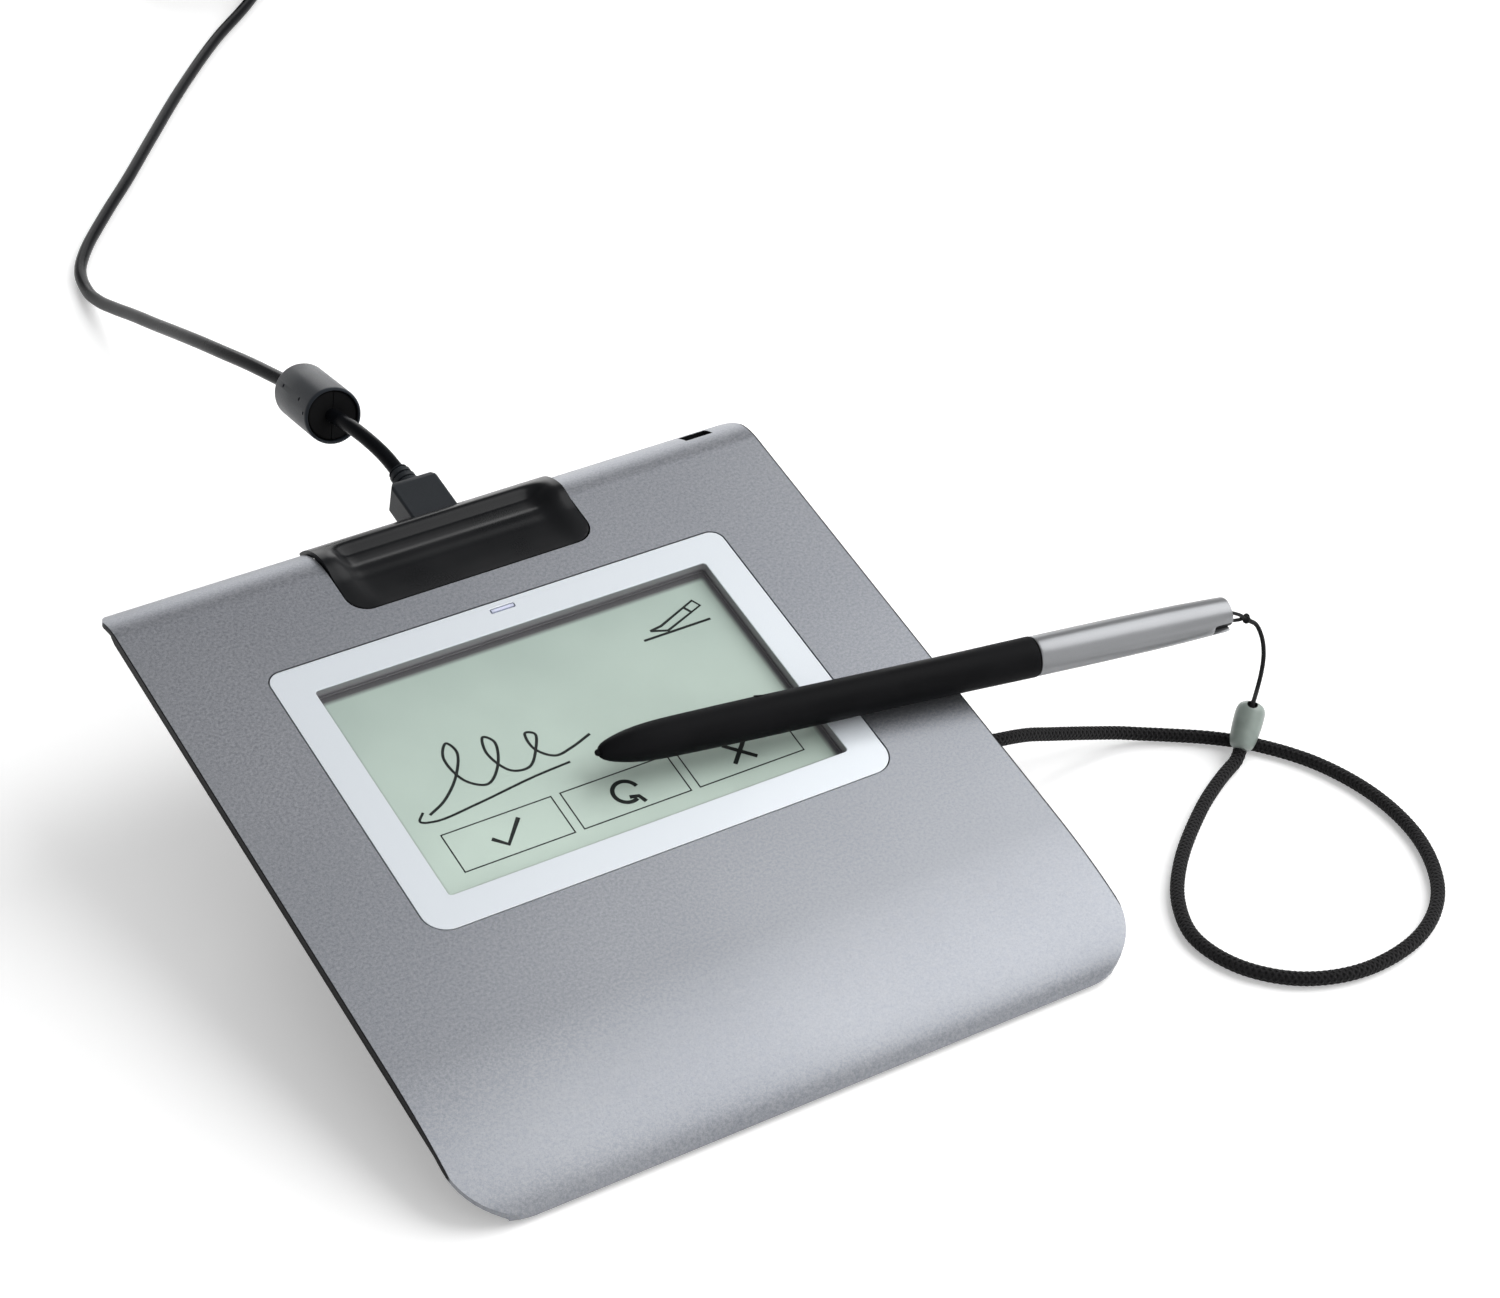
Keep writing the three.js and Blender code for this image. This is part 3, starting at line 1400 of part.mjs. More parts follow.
function aBody() {
  const start = aReliefLength + fitGap;
  const [w, h, c] = [aBodyWidth / 2, aBodyHeight / 2, aBodyRound];
  const section = [
    [-w + c, -h], [w - c, -h], [w, -h + c], [w, h - c], [w - c, h], [-w + c, h], [-w, h - c], [-w, -h + c],
  ];
  const ring = (x, share) => section.map(([y, z]) => new THREE.Vector3(x, y * share, z * (share + 1) / 2));
  return loft([ring(start, 0.7), ring(start + aBodyRound * 1.6, 0.94), ring(start + aBodyRound * 3.4, 1),
    ring(start + aBodyLength, 1)]);
}

function aShell() {
  const start = aReliefLength + aBodyLength + 2 * fitGap;
  const [w, h, t] = [aShellWidth / 2, aShellHeight / 2, aShellWall];
  return cutBy(
    box(start, start + aShellLength, -w, w, -h, h),
    box(start + t, start + aShellLength + cutOver, -w + t, w - t, -h + t, h - t),
  );
}

function aTongue() {
  const start = aReliefLength + aBodyLength + 2 * fitGap + aShellWall + fitGap;
  const half = aShellWidth / 2 - aShellWall - fitGap;
  const top = aShellHeight / 2 - aShellWall - fitGap;
  return box(start, start + aShellLength - 2 * aShellWall - cutOver, -half, half, top - aTongueThickness, top);
}

// Assembly

const group = new THREE.Group();

function mesh(name, geometry, color, roughness, metalness, parent) {
  const clean = tidy(geometry);
  clean.computeVertexNormals();
  const made = new THREE.Mesh(clean, new THREE.MeshStandardMaterial({ color, roughness, metalness, flatShading: true }));
  made.name = name;
  parent.add(made);
  return made;
}

const pad = new THREE.Group();
pad.rotation.x = tilt;
pad.position.copy(padPlace);
group.add(pad);

const grey = 0x9a9da4;
const black = 0x17181a;
const blackSoft = 0x222325;
const steel = 0xb8bbbf;
const boardGreen = 0x1d5a3a;

mesh('top_cover', topCover(), grey, 0.45, 0.4, pad);
mesh('bezel_frame', bezelFrame(), 0xdde2e8, 0.4, 0.1, pad);
mesh('light_pipe', lightPipe(), 0xa9c4ff, 0.3, 0, pad);
mesh('status_led', statusLed(), 0xf2f4ff, 0.4, 0, pad);
mesh('cover_glass', slab(glassWidth, glassDepth, glassTop - glassThickness, glassTop, 0, windowCentreY), 0xcfdcd4, 0.1, 0, pad);
mesh('lcd_panel', slab(lcdWidth, lcdDepth, lcdTop - lcdThickness, lcdTop, 0, windowCentreY), 0xb9ccc0, 0.6, 0, pad);
mesh('lcd_holder', lcdHolder(), black, 0.7, 0, pad);
mesh('sensor_board', slab(sensorWidth, sensorDepth, sensorTop - sensorThickness, sensorTop, 0, windowCentreY), boardGreen, 0.6, 0, pad);
mesh('shield_plate', slab(sensorWidth, sensorDepth, shieldTop - shieldThickness, shieldTop, 0, windowCentreY), steel, 0.4, 0.8, pad);
mesh('main_board', mainBoard(), boardGreen, 0.6, 0, pad);
mesh('lcd_ribbon', ribbon(), 0xc58a3a, 0.5, 0, pad);
mesh('usb_socket', usbSocket(), steel, 0.35, 0.9, pad);
mesh('lock_plate', lockPlate(), steel, 0.4, 0.9, pad);
mesh('bottom_shell', bottomShell(), blackSoft, 0.7, 0, pad);
mesh('pen_rest', penRest(), black, 0.6, 0, pad);
mesh('front_foot', frontFoot(), black, 0.9, 0, pad);
mesh('rear_foot_left', rearFoot(-rearFootX), black, 0.9, 0, pad);
mesh('rear_foot_right', rearFoot(rearFootX), black, 0.9, 0, pad);
screwPlaces().forEach((place, i) => mesh(`housing_screw_${i + 1}`, housingScrew(place), steel, 0.3, 0.9, pad));
mesh('hinge_pin_left', hingePin(-1), steel, 0.3, 0.9, pad);
mesh('hinge_pin_right', hingePin(1), steel, 0.3, 0.9, pad);
mesh('tether_anchor', tetherAnchor(), black, 0.6, 0, pad);
mesh('tether_stop_knot', tetherStopKnot(), black, 0.9, 0, pad);

const hinge = new THREE.Group();
hinge.position.set(0, hingeY, -hingeDrop);
pad.add(hinge);
mesh('stand_leg', standLeg(), blackSoft, 0.7, 0, hinge);
mesh('stand_foot', standFoot(), black, 0.9, 0, hinge);

const pen = new THREE.Group();
pen.position.set(penTipX, penTipY, penAxisHeight);
pen.rotation.z = penAngle;
pad.add(pen);
mesh('pen_grip', penGrip(), 0x202225, 0.6, 0, pen);
mesh('pen_barrel', penBarrel(), 0xa7aaad, 0.35, 0.7, pen);
mesh('pen_end_insert', penEndInsert(), black, 0.6, 0, pen);
mesh('pen_nib', penNib(), 0x2a2a2c, 0.5, 0, pen);
mesh('pen_coil', penCoil(), 0x6a3f22, 0.5, 0.2, pen);
mesh('pen_board', penBoard(), boardGreen, 0.6, 0, pen);
mesh('thread_knot', threadKnot(), black, 0.9, 0, pen);
mesh('thread_loop', threadLoop(), black, 0.9, 0, pen);

mesh('tether_cord', cordTube(tetherLine, tetherDiameter, 8, 2), black, 0.9, 0, group);
mesh('tether_thread', cordTube(threadLine, threadDiameter, 8, 2), black, 0.9, 0, group);
const bead = mesh('tether_bead', tetherBead(), 0x7d857f, 0.4, 0, group);
const beadHeading = beadEnd.clone().sub(beadStart).normalize();
bead.quaternion.setFromUnitVectors(new THREE.Vector3(1, 0, 0), beadHeading);
bead.position.copy(beadStart).addScaledVector(beadHeading, fitGap);

mesh('usb_plug_body', plugBody(), black, 0.6, 0, pad);
mesh('usb_plug_shell', plugShell(), steel, 0.3, 0.9, pad);
mesh('usb_plug_collar', plugCollar(), black, 0.6, 0, pad);
mesh('usb_cord_short', cordTube(usbShortLine, usbCordDiameter, 8, 2), black, 0.5, 0, group);

const ferrite = new THREE.Group();
const ferriteStart = new THREE.Vector3(...usbShortLine[usbShortLine.length - 1]);
const ferriteHeading = new THREE.Vector3(...usbRunLine[0]).sub(ferriteStart).normalize();
ferrite.quaternion.setFromUnitVectors(new THREE.Vector3(1, 0, 0), ferriteHeading);
ferrite.position.copy(ferriteStart);
group.add(ferrite);
mesh('ferrite_cover', ferriteCover(), 0x3b4046, 0.5, 0, ferrite);
mesh('ferrite_core', ferriteCore(), 0x101113, 0.8, 0, ferrite);

mesh('usb_cord_run', cordTube(runRoute(), usbCordDiameter, 8, 2), black, 0.5, 0, group);
mesh('usb_cord_coil', sweep(coilLine, usbCordDiameter / 2, coilSides), black, 0.5, 0, group);
mesh('coil_tie', coilTie(), black, 0.7, 0, group);
mesh('usb_cord_tail', cordTube(tailPoints(), usbCordDiameter, 8, 2), black, 0.5, 0, group);

const aPlug = new THREE.Group();
const tail = tailPoints();
const tailEnd = new THREE.Vector3(...tail[tail.length - 1]);
const tailHeading = tailEnd.clone().sub(new THREE.Vector3(...tail[tail.length - 2]));
aPlug.rotation.z = Math.atan2(tailHeading.y, tailHeading.x);
tailHeading.z = 0;
aPlug.position.copy(tailEnd).addScaledVector(tailHeading.normalize(), fitGap);
group.add(aPlug);
mesh('usb_a_relief', aRelief(), black, 0.6, 0, aPlug);
mesh('usb_a_body', aBody(), black, 0.6, 0, aPlug);
mesh('usb_a_shell', aShell(), steel, 0.3, 0.9, aPlug);
mesh('usb_a_tongue', aTongue(), 0xeeeeee, 0.6, 0, aPlug);

export default group;
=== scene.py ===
# Looks for the counter signature pad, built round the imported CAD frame.
# A piece is modelled in millimetres, in the frame of the part that carries it, then put in place in metres.
import math

import bmesh
import bpy
from mathutils import Matrix, Vector


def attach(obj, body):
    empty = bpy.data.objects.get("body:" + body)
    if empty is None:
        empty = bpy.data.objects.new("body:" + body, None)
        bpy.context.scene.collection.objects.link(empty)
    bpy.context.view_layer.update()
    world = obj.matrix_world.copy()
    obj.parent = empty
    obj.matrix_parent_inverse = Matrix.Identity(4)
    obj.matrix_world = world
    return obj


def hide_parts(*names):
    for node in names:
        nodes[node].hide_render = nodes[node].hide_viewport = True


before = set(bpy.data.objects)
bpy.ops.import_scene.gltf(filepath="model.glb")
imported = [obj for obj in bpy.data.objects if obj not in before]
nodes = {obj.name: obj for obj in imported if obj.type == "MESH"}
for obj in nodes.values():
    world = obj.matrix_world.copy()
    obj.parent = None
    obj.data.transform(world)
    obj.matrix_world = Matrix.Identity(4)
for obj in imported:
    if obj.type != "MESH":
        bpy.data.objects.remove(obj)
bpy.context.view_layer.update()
mm = 0.001
deg = math.pi / 180
print("frame loaded:", len(nodes), "nodes")

# The photograph's view, in metres
camera = {
    "position": (-0.316564, -0.486624, 0.486995),
    "right": (0.8476, -0.5306, 0.0004),
    "up": (0.2928, 0.4685, 0.8335),
    "lens": 89.66,
    "sensorWidth": 36.0,
}


def linked(name, data):
    made = bpy.data.objects.new(name, data)
    bpy.context.scene.collection.objects.link(made)
    return made


def addCamera():
    seen = linked("camera", bpy.data.cameras.new("camera"))
    right, up = Vector(camera["right"]).normalized(), Vector(camera["up"]).normalized()
    turn = Matrix((right, up, right.cross(up))).transposed().to_4x4()
    seen.matrix_world = Matrix.Translation(camera["position"]) @ turn
    seen.data.lens = camera["lens"]
    seen.data.sensor_width = camera["sensorWidth"]
    seen.data.clip_start = 0.01
    seen.data.clip_end = 30
    bpy.context.scene.camera = seen


addCamera()
print("camera placed")

# Frames of the parts that carry the pieces
places = {
    "tilt": 15.5,
    "contact": (0, -78.15, -11.64),  # where the front foot meets the desk, in the pad's frame
    "penTip": (-4.9, 1.36, 4.95),
    "penTurn": -8.12,
    "ferriteStart": (-0.4, 199.596, 54.738),
    "ferriteHeading": (0.1225, 0.9684, -0.2174),
    "beadStart": (142.3, 38.234, 3.343),
    "beadEnd": (149.4, 43.234, 11.1),
    "aPlug": (142.699, 641.806, 4.075),
    "aPlugTurn": 81.99,
}


def turnBy(angle, axis):
    return Matrix.Rotation(angle * deg, 4, axis)


worldFrame = Matrix.Scale(mm, 4)
tiltTurn = turnBy(places["tilt"], "X")
padOrigin = -(tiltTurn @ Vector(places["contact"]))
padFrame = worldFrame @ Matrix.Translation(padOrigin) @ tiltTurn
penFrame = padFrame @ Matrix.Translation(places["penTip"]) @ turnBy(places["penTurn"], "Z")
zToX = turnBy(90, "Y")


def along(start, heading):
    turn = Vector((1, 0, 0)).rotation_difference(Vector(heading)).to_matrix().to_4x4()
    return worldFrame @ Matrix.Translation(start) @ turn


ferriteFrame = along(places["ferriteStart"], places["ferriteHeading"])
beadHeading = (Vector(places["beadEnd"]) - Vector(places["beadStart"])).normalized()
beadFrame = along(Vector(places["beadStart"]) + beadHeading * 0.3, beadHeading)
aPlugFrame = worldFrame @ Matrix.Translation(places["aPlug"]) @ turnBy(places["aPlugTurn"], "Z")


# Modelling by hand: helpers


def deselectAll():
    if bpy.context.object and bpy.context.object.mode != "OBJECT":
        bpy.ops.object.mode_set(mode="OBJECT")
    bpy.ops.object.select_all(action="DESELECT")


def pick(piece):
    deselectAll()
    piece.select_set(True)
    bpy.context.view_layer.objects.active = piece


def edit(piece):
    pick(piece)
    bpy.ops.object.mode_set(mode="EDIT")


def leave():
    bpy.ops.object.mode_set(mode="OBJECT")


def selectAll():
    bpy.ops.mesh.select_all(action="SELECT")


def move(way):
    bpy.ops.transform.translate(value=way)


def resize(shares, centre=None):
    settings = {"center_override": centre} if centre else {}
    bpy.ops.transform.resize(value=shares, **settings)


def extrude(way):
    bpy.ops.mesh.extrude_region_move(TRANSFORM_OT_translate={"value": way})


def bevel(width, segments):
    bpy.ops.mesh.bevel(offset=width, segments=segments, affect="EDGES")


def outward():
    selectAll()
    bpy.ops.mesh.normals_make_consistent(inside=False)


def added(name):
    piece = bpy.context.object
    piece.name = piece.data.name = name
    bpy.ops.object.transform_apply(location=True, rotation=True, scale=True)
    return piece


def choose(kind, test):
    bpy.ops.mesh.select_mode(type=kind)
    bpy.ops.mesh.select_all(action="DESELECT")
    mesh = bmesh.from_edit_mesh(bpy.context.object.data)
    items = {"VERT": mesh.verts, "EDGE": mesh.edges, "FACE": mesh.faces}[kind]
    for item in items:
        if test(item):
            item.select_set(True)
    mesh.select_flush_mode()
    bmesh.update_edit_mesh(bpy.context.object.data)


def middle(edge):
    return (edge.verts[0].co + edge.verts[1].co) / 2


def upright(edge):
    way = edge.verts[0].co - edge.verts[1].co
    return abs(way.z) > 0.99 * way.length


def modify(piece, kind, **settings):
    pick(piece)
    made = piece.modifiers.new(kind.lower(), kind)
    for name, value in settings.items():
        setattr(made, name, value)
    bpy.ops.object.modifier_apply(modifier=made.name)


def cut(piece, tool, operation="DIFFERENCE"):
    modify(piece, "BOOLEAN", object=tool, operation=operation, solver="EXACT")
    bpy.data.objects.remove(tool)


def block(name, low, high):
    deselectAll()
    low, high = Vector(low), Vector(high)
    bpy.ops.mesh.primitive_cube_add(size=1, location=(low + high) / 2, scale=high - low)
    return added(name)


def roundedBlock(name, low, high, frontRadius, rearRadius, segments=8):
    piece = block(name, low, high)
    edit(piece)
    split = (low[1] + high[1]) / 2
    for radius, front in ((frontRadius, True), (rearRadius, False)):
        choose("EDGE", lambda e: upright(e) and (middle(e).y < split) == front)
        bevel(radius, segments)
    leave()
    return piece


def plate(name, size, y, levels, corners, segments=8):
    # A rounded block centred on x = 0 and on y, from level to level
    w, d = (side / 2 for side in size)
    low, high = levels
    return roundedBlock(name, (-w, y - d, low), (w, y + d, high), *corners, segments)


def turned(name, profile, sides=48, closed=False):
    # A turned form along X: a ring is extruded and scaled through the profile's (along, radius) points
    deselectAll()
    bpy.ops.mesh.primitive_circle_add(vertices=sides, radius=profile[0][1], location=(0, 0, profile[0][0]))
    piece = added(name)
    edit(piece)
    bpy.ops.mesh.select_mode(type="EDGE")
    selectAll()
    for (a, before), (b, after) in zip(profile, profile[1:]):
        extrude((0, 0, b - a))
        share = after / before
        resize((share, share, 1), (0, 0, b))
    selectAll()
    bpy.ops.mesh.remove_doubles(threshold=0.0005)
    if not closed:
        bpy.ops.mesh.select_all(action="DESELECT")
        bpy.ops.mesh.select_mode(type="EDGE")
        bpy.ops.mesh.select_non_manifold()
        bpy.ops.mesh.fill_holes(sides=0)
    outward()
    leave()
    piece.data.transform(zToX)
    return piece


def copied(name, node):
    # A merged copy of a CAD node, in millimetres in the world's frame
    piece = linked(name, nodes[node].data.copy())
    piece.data.transform(Matrix.Scale(1 / mm, 4))
    edit(piece)
    selectAll()
    bpy.ops.mesh.remove_doubles(threshold=0.002)
    bpy.ops.mesh.dissolve_limited(angle_limit=0.3 * deg)
    leave()
    return piece


def eased(piece, width, angle=30, segments=2):
    modify(piece, "BEVEL", width=width, segments=segments, limit_method="ANGLE", angle_limit=angle * deg)
    return piece


def placed(piece, place, body, finish, covers=(), angle=30, even=False):
    piece.data.transform(place)
    if piece.type == "MESH":
        pick(piece)
        bpy.ops.object.shade_smooth_by_angle(angle=angle * deg)
        if even:
            modify(piece, "WEIGHTED_NORMAL", weight=50, keep_sharp=True)
    piece.data.materials.clear()
    piece.data.materials.append(finish.material)
    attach(piece, body)
    if covers:
        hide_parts(*covers)
    return piece


def smoothStep(t):
    s = min(1, max(0, t))
    return s * s * (3 - 2 * s)


def smoothLine(route, step):
    # A smooth line through the points, with points about a step apart
    pts = [Vector(p) for p in route]
    pts = [2 * pts[0] - pts[1]] + pts + [2 * pts[-1] - pts[-2]]
    line = []
    for a, b, c, d in zip(pts, pts[1:], pts[2:], pts[3:]):
        t1 = max((b - a).length, 1e-6) ** 0.5
        t2 = t1 + max((c - b).length, 1e-6) ** 0.5
        t3 = t2 + max((d - c).length, 1e-6) ** 0.5
        count = max(1, round((c - b).length / step))
        for i in range(count):
            t = t1 + (t2 - t1) * i / count
            ab, bc, cd = a.lerp(b, t / t1), b.lerp(c, (t - t1) / (t2 - t1)), c.lerp(d, (t - t2) / (t3 - t2))
            abc, bcd = ab.lerp(bc, t / t2), bc.lerp(cd, (t - t1) / (t3 - t1))
            line.append(abc.lerp(bcd, (t - t1) / (t2 - t1)))
    line.append(pts[-2])
    return line


def smoothPairs(pairs, step):
    return [(q.x, q.y) for q in smoothLine([(a, b, 0) for a, b in pairs], step)]


def tube(name, line, diameter, rounds=5, closed=False, swell=None):
    shape = bpy.data.curves.new(name, "CURVE")
    shape.dimensions = "3D"
    shape.bevel_depth = diameter / 2
    shape.bevel_resolution = rounds
    shape.use_fill_caps = not closed
    spline = shape.splines.new("POLY")
    spline.points.add(len(line) - 1)
    for i, (point, place) in enumerate(zip(spline.points, line)):
        point.co = (*place, 1)
        point.radius = swell(i) if swell else 1
    spline.use_cyclic_u = closed
    spline.use_smooth = True
    return linked(name, shape)


def meshed(piece):
    pick(piece)
    bpy.ops.object.convert(target="MESH")
    return bpy.context.object


def shaded(colour, share):
    return tuple(c * share for c in colour)


# Materials: arithmetic on sockets


class Signal:
    # A socket; each sum with it adds a Math node
    def __init__(self, tree, socket):
        self.tree = tree
        self.socket = socket

    def __add__(self, other):
        return self.tree.maths("ADD", self, other)

    def __sub__(self, other):
        return self.tree.maths("SUBTRACT", self, other)

    def __rsub__(self, other):
        return self.tree.maths("SUBTRACT", other, self)

    def __mul__(self, other):
        return self.tree.maths("MULTIPLY", self, other)

    def __abs__(self):
        return self.tree.maths("ABSOLUTE", self)

    __radd__ = __add__
    __rmul__ = __mul__


class Tree:
    # The nodes of a material or of the world
    def __init__(self, nodeTree):
        self.nodeTree = nodeTree

    def link(self, signal, socket):
        self.nodeTree.links.new(signal.socket, socket)

    def node(self, kind, settings=None, inputs=None, output=0):
        # Settings first, a ramp's stops among them, then the values or links of the sockets
        made = self.nodeTree.nodes.new(kind)
        for key, value in (settings or {}).items():
            if key == "stops":
                ramp = made.color_ramp
                ramp.interpolation = "EASE"
                while len(ramp.elements) < len(value):
                    ramp.elements.new(0.5)
                for stop, (position, colour) in zip(ramp.elements, value):
                    stop.position = position
                    stop.color = (*colour, 1)
            else:
                setattr(made, key, value)
        for key, value in (inputs or {}).items():
            if isinstance(value, Signal):
                self.link(value, made.inputs[key])
            else:
                made.inputs[key].default_value = value
        return Signal(self, made.outputs[output])

    def split(self, vector):
        first = self.node("ShaderNodeSeparateXYZ", {}, {0: vector})
        return [Signal(self, part) for part in first.socket.node.outputs]

    def maths(self, operation, *values):
        return self.node("ShaderNodeMath", {"operation": operation}, dict(enumerate(values)))

    def seenBy(self, *kinds):
        # 1 for the named kinds of ray
        signal = 0
        for kind in kinds:
            signal = self.maths("MAXIMUM", signal, self.node("ShaderNodeLightPath", output=kind))
        return signal


class Finish(Tree):
    # One material; constants are set on the shader's own sockets, lengths are in millimetres
    def __init__(self, name, constants, place=worldFrame):
        self.name = name
        self.material = bpy.data.materials.new(name)
        self.material.use_nodes = True
        super().__init__(self.material.node_tree)
        self.shader = self.nodeTree.nodes["Principled BSDF"]
        for socket, value in constants.items():
            self.shader.inputs[socket].default_value = (*value, 1) if isinstance(value, tuple) else value
        where = self.node("ShaderNodeTexCoord", output="Object")
        at, turn = place.to_translation(), place.to_euler("XYZ")
        source = {"Vector": where, "Location": at, "Rotation": turn, "Scale": (mm, mm, mm)}
        self.at = self.node("ShaderNodeMapping", {"vector_type": "TEXTURE"}, source)
        self.x, self.y, self.z = self.split(self.at)

    def mixed(self, share, first, second):
        first, second = (c if isinstance(c, Signal) else (*c, 1) for c in (first, second))
        return self.node("ShaderNodeMix", {"data_type": "RGBA"}, {0: share, 6: first, 7: second}, output=2)

    def noise(self, scale, detail=2.0, rough=0.5, vector=None):
        source = {"Vector": vector or self.at, "Scale": scale, "Detail": detail, "Roughness": rough}
        return self.node("ShaderNodeTexNoise", {}, source)

    def spread(self, signal, low, high, fromLow=0.0, fromHigh=1.0):
        source = {"Value": signal, "From Min": fromLow, "From Max": fromHigh, "To Min": low, "To Max": high}
        return self.node("ShaderNodeMapRange", {"clamp": True}, source)

    def within(self, signal, centre, half, soft):
        # 1 where the signal is within half of the centre, with a soft edge
        return self.spread(abs(signal - centre), 1, 0, half - soft, half + soft)

    def give(self, socket, signal):
        self.link(signal, self.shader.inputs[socket])

    def colour(self, signal, low, high, first, second):
        # Base colour from the first to the second while the signal goes from low to high
        self.give("Base Color", self.mixed(self.spread(signal, 0, 1, low, high), first, second))

    def rough(self, signal, *limits):
        self.give("Roughness", self.spread(signal, *limits))

    def bump(self, height, strength, distance):
        source = {"Strength": strength, "Distance": distance * mm, "Height": height}
        self.give("Normal", self.node("ShaderNodeBump", {}, source))


def grained(name, colour, shift, rough, grain, bumpHeight, specular=0.5, place=worldFrame):
    # Moulded plastic: soft colour drift, fine texture, roughness that varies with it
    finish = Finish(name, {"Roughness": rough, "Specular IOR Level": specular}, place)
    drift = finish.noise(0.03, 3)
    fine = finish.noise(grain, 2, 0.6)
    finish.colour(drift * 0.6 + fine * 0.4, 0.35, 0.65, colour, shift)
    finish.rough(drift, rough - 0.05, rough + 0.06, 0.3, 0.7)
    finish.bump(fine, 0.6, bumpHeight)
    return finish


def brushed(name, colour, rough, place=worldFrame):
    # Bare metal with a fine drawn grain along X
    finish = Finish(name, {"Metallic": 1.0, "Roughness": rough}, place)
    stretched = finish.node("ShaderNodeMapping", {}, {"Vector": finish.at, "Scale": (0.2, 6, 6)})
    grain = finish.noise(1.0, 3, 0.6, stretched)
    spots = finish.noise(0.35, 2)
    finish.colour(grain * 0.5 + spots * 0.5, 0.38, 0.62, shaded(colour, 0.78), colour)
    finish.rough(grain, rough - 0.07, rough + 0.1, 0.3, 0.7)
    finish.bump(grain, 0.25, 0.01)
    return finish


print("tools ready")

# The tether and the lead, route points in millimetres
tether = {
    "diameter": 3.2,
    "length": 0.302,  # declared, in metres
    "route": [
        (68.6, 54.634, 18.721), (74.1, 54.434, 18.721), (80.6, 54.234, 18.311), (87.1, 54.334, 17.286),
        (95.5, 55.834, 14.518), (102.5, 57.034, 11.442), (109.9, 57.934, 8.366), (116.8, 58.334, 5.701),
        (123.1, 57.934, 3.65), (128.5, 56.334, 2.318), (133.4, 53.734, 1.754), (141.4, 47.534, 1.651),
        (148.4, 39.934, 1.651), (155.5, 26.734, 1.651), (158.5, 9.634, 1.651), (155.7, -8.566, 1.651),
        (146.4, -24.766, 1.651), (133.1, -33.866, 1.651), (116.3, -36.266, 1.651), (103.5, -31.766, 1.651),
        (95.2, -21.966, 1.651), (93.0, -9.566, 1.651), (97.5, 2.234, 1.651), (106.9, 13.734, 1.651),
        (122.4, 26.634, 1.651), (131.8, 32.734, 1.651), (137.7, 35.834, 1.703), (139.8, 36.734, 1.908),
        (141.4, 37.634, 2.523), (142.3, 38.234, 3.343),
    ],
    "strands": 12,  # strands round the braid
    "lay": 7.8,  # length of one turn of a strand
    "swell": 0.03,  # the strands stand this share of the radius out
}
thread = {
    "diameter": 1.05,
    "loopDiameter": 0.82,
    "route": [
        (151.3, 44.534, 13.1), (153.5, 46.134, 16.0), (155.3, 47.934, 19.3),
        (156.0, 49.734, 22.4), (155.4, 51.334, 25.3), (153.203, 51.413, 27.213),
    ],
    "knot": (158.6, 0, -3.2),  # in the pen's frame
    "barIn": 1.9,  # from the pen's end to its crossbar
    "barRound": 1.4,  # the loop's radius round the crossbar
    "stopKnot": (64.4, -20.5, -8.2),  # in the pad's frame
}
lead = {
    "diameter": 3.45,
    "length": 1.5,
    "short": [
        (2.0, 172.396, 53.04), (1.6, 177.896, 54.538), (0.8, 183.996, 55.637), (0.1, 190.196, 55.936),
        (-0.3, 194.896, 55.637), (-0.4, 199.596, 54.738),
    ],
    "inFerrite": [(1.15, 211.85, 51.99)],
    "run": [
        (2.7, 224.096, 49.244), (2.5, 231.396, 47.746), (1.9, 249.996, 43.851), (1.8, 267.196, 39.356),
        (2.7, 283.296, 34.362), (4.2, 300.696, 28.369), (5.9, 319.096, 21.876), (7.9, 338.596, 14.984),
        (9.4, 355.296, 8.991), (10.4, 368.296, 4.796), (11.6, 379.296, 2.399), (14.6, 391.696, 1.85),
        (20.8, 402.796, 1.85), (34.5, 420.396, 1.85), (49.6, 438.296, 1.85), (67.2, 460.096, 1.85),
        (88.3, 485.796, 1.85), (113.0, 513.296, 1.85), (133.5, 532.796, 2.1), (148.845, 549.493, 2.725),
    ],
    "tail": [
        (148.864, 597.219, 14.575), (146.797, 602.273, 13.575), (144.435, 609.321, 10.975),
        (142.016, 618.868, 7.375), (141.394, 628.556, 4.675), (142.176, 638.077, 4.075),
        (142.657, 641.509, 4.075), (143.004, 643.982, 4.075),
    ],
}
coil = {
    "centre": (137.225, 574.185),
    "outerRadius": 23.68,
    "startAngle": -0.747,
    "turns": 8.25,
    "layers": 4,
    "turnsPerLayer": 1.6875,
    "pitch": 3.95,
    "floorGap": 1.0,
    "stepsPerTurn": 24,
}


def coilRoute():
    # Layers that spiral in and out, and climb in the half turn where they reverse
    per, pitch = coil["turnsPerLayer"], coil["pitch"]
    count = round(coil["turns"] * coil["stepsPerTurn"])
    route = []
    for i in range(count + 1):
        turn = coil["turns"] * i / count
        layer = min(coil["layers"] - 1, math.floor((turn + 0.25) / (per + 0.5)))
        inLayer = turn - layer * (per + 0.5)
        travel = min(max(inLayer, -0.25), per + 0.25)
        inward = travel if layer % 2 == 0 else per - travel
        radius = coil["outerRadius"] - inward * pitch
        climbed = smoothStep((inLayer + 0.5) / 0.5) + smoothStep((inLayer - per) / 0.5)
        level = max(0, min(layer + climbed - 1, coil["layers"] - 1))
        angle = coil["startAngle"] + 2 * math.pi * turn
        x, y = coil["centre"]
        height = lead["diameter"] / 2 + coil["floorGap"] + pitch * level
        route.append((x + radius * math.cos(angle), y + radius * math.sin(angle), height))
    return route


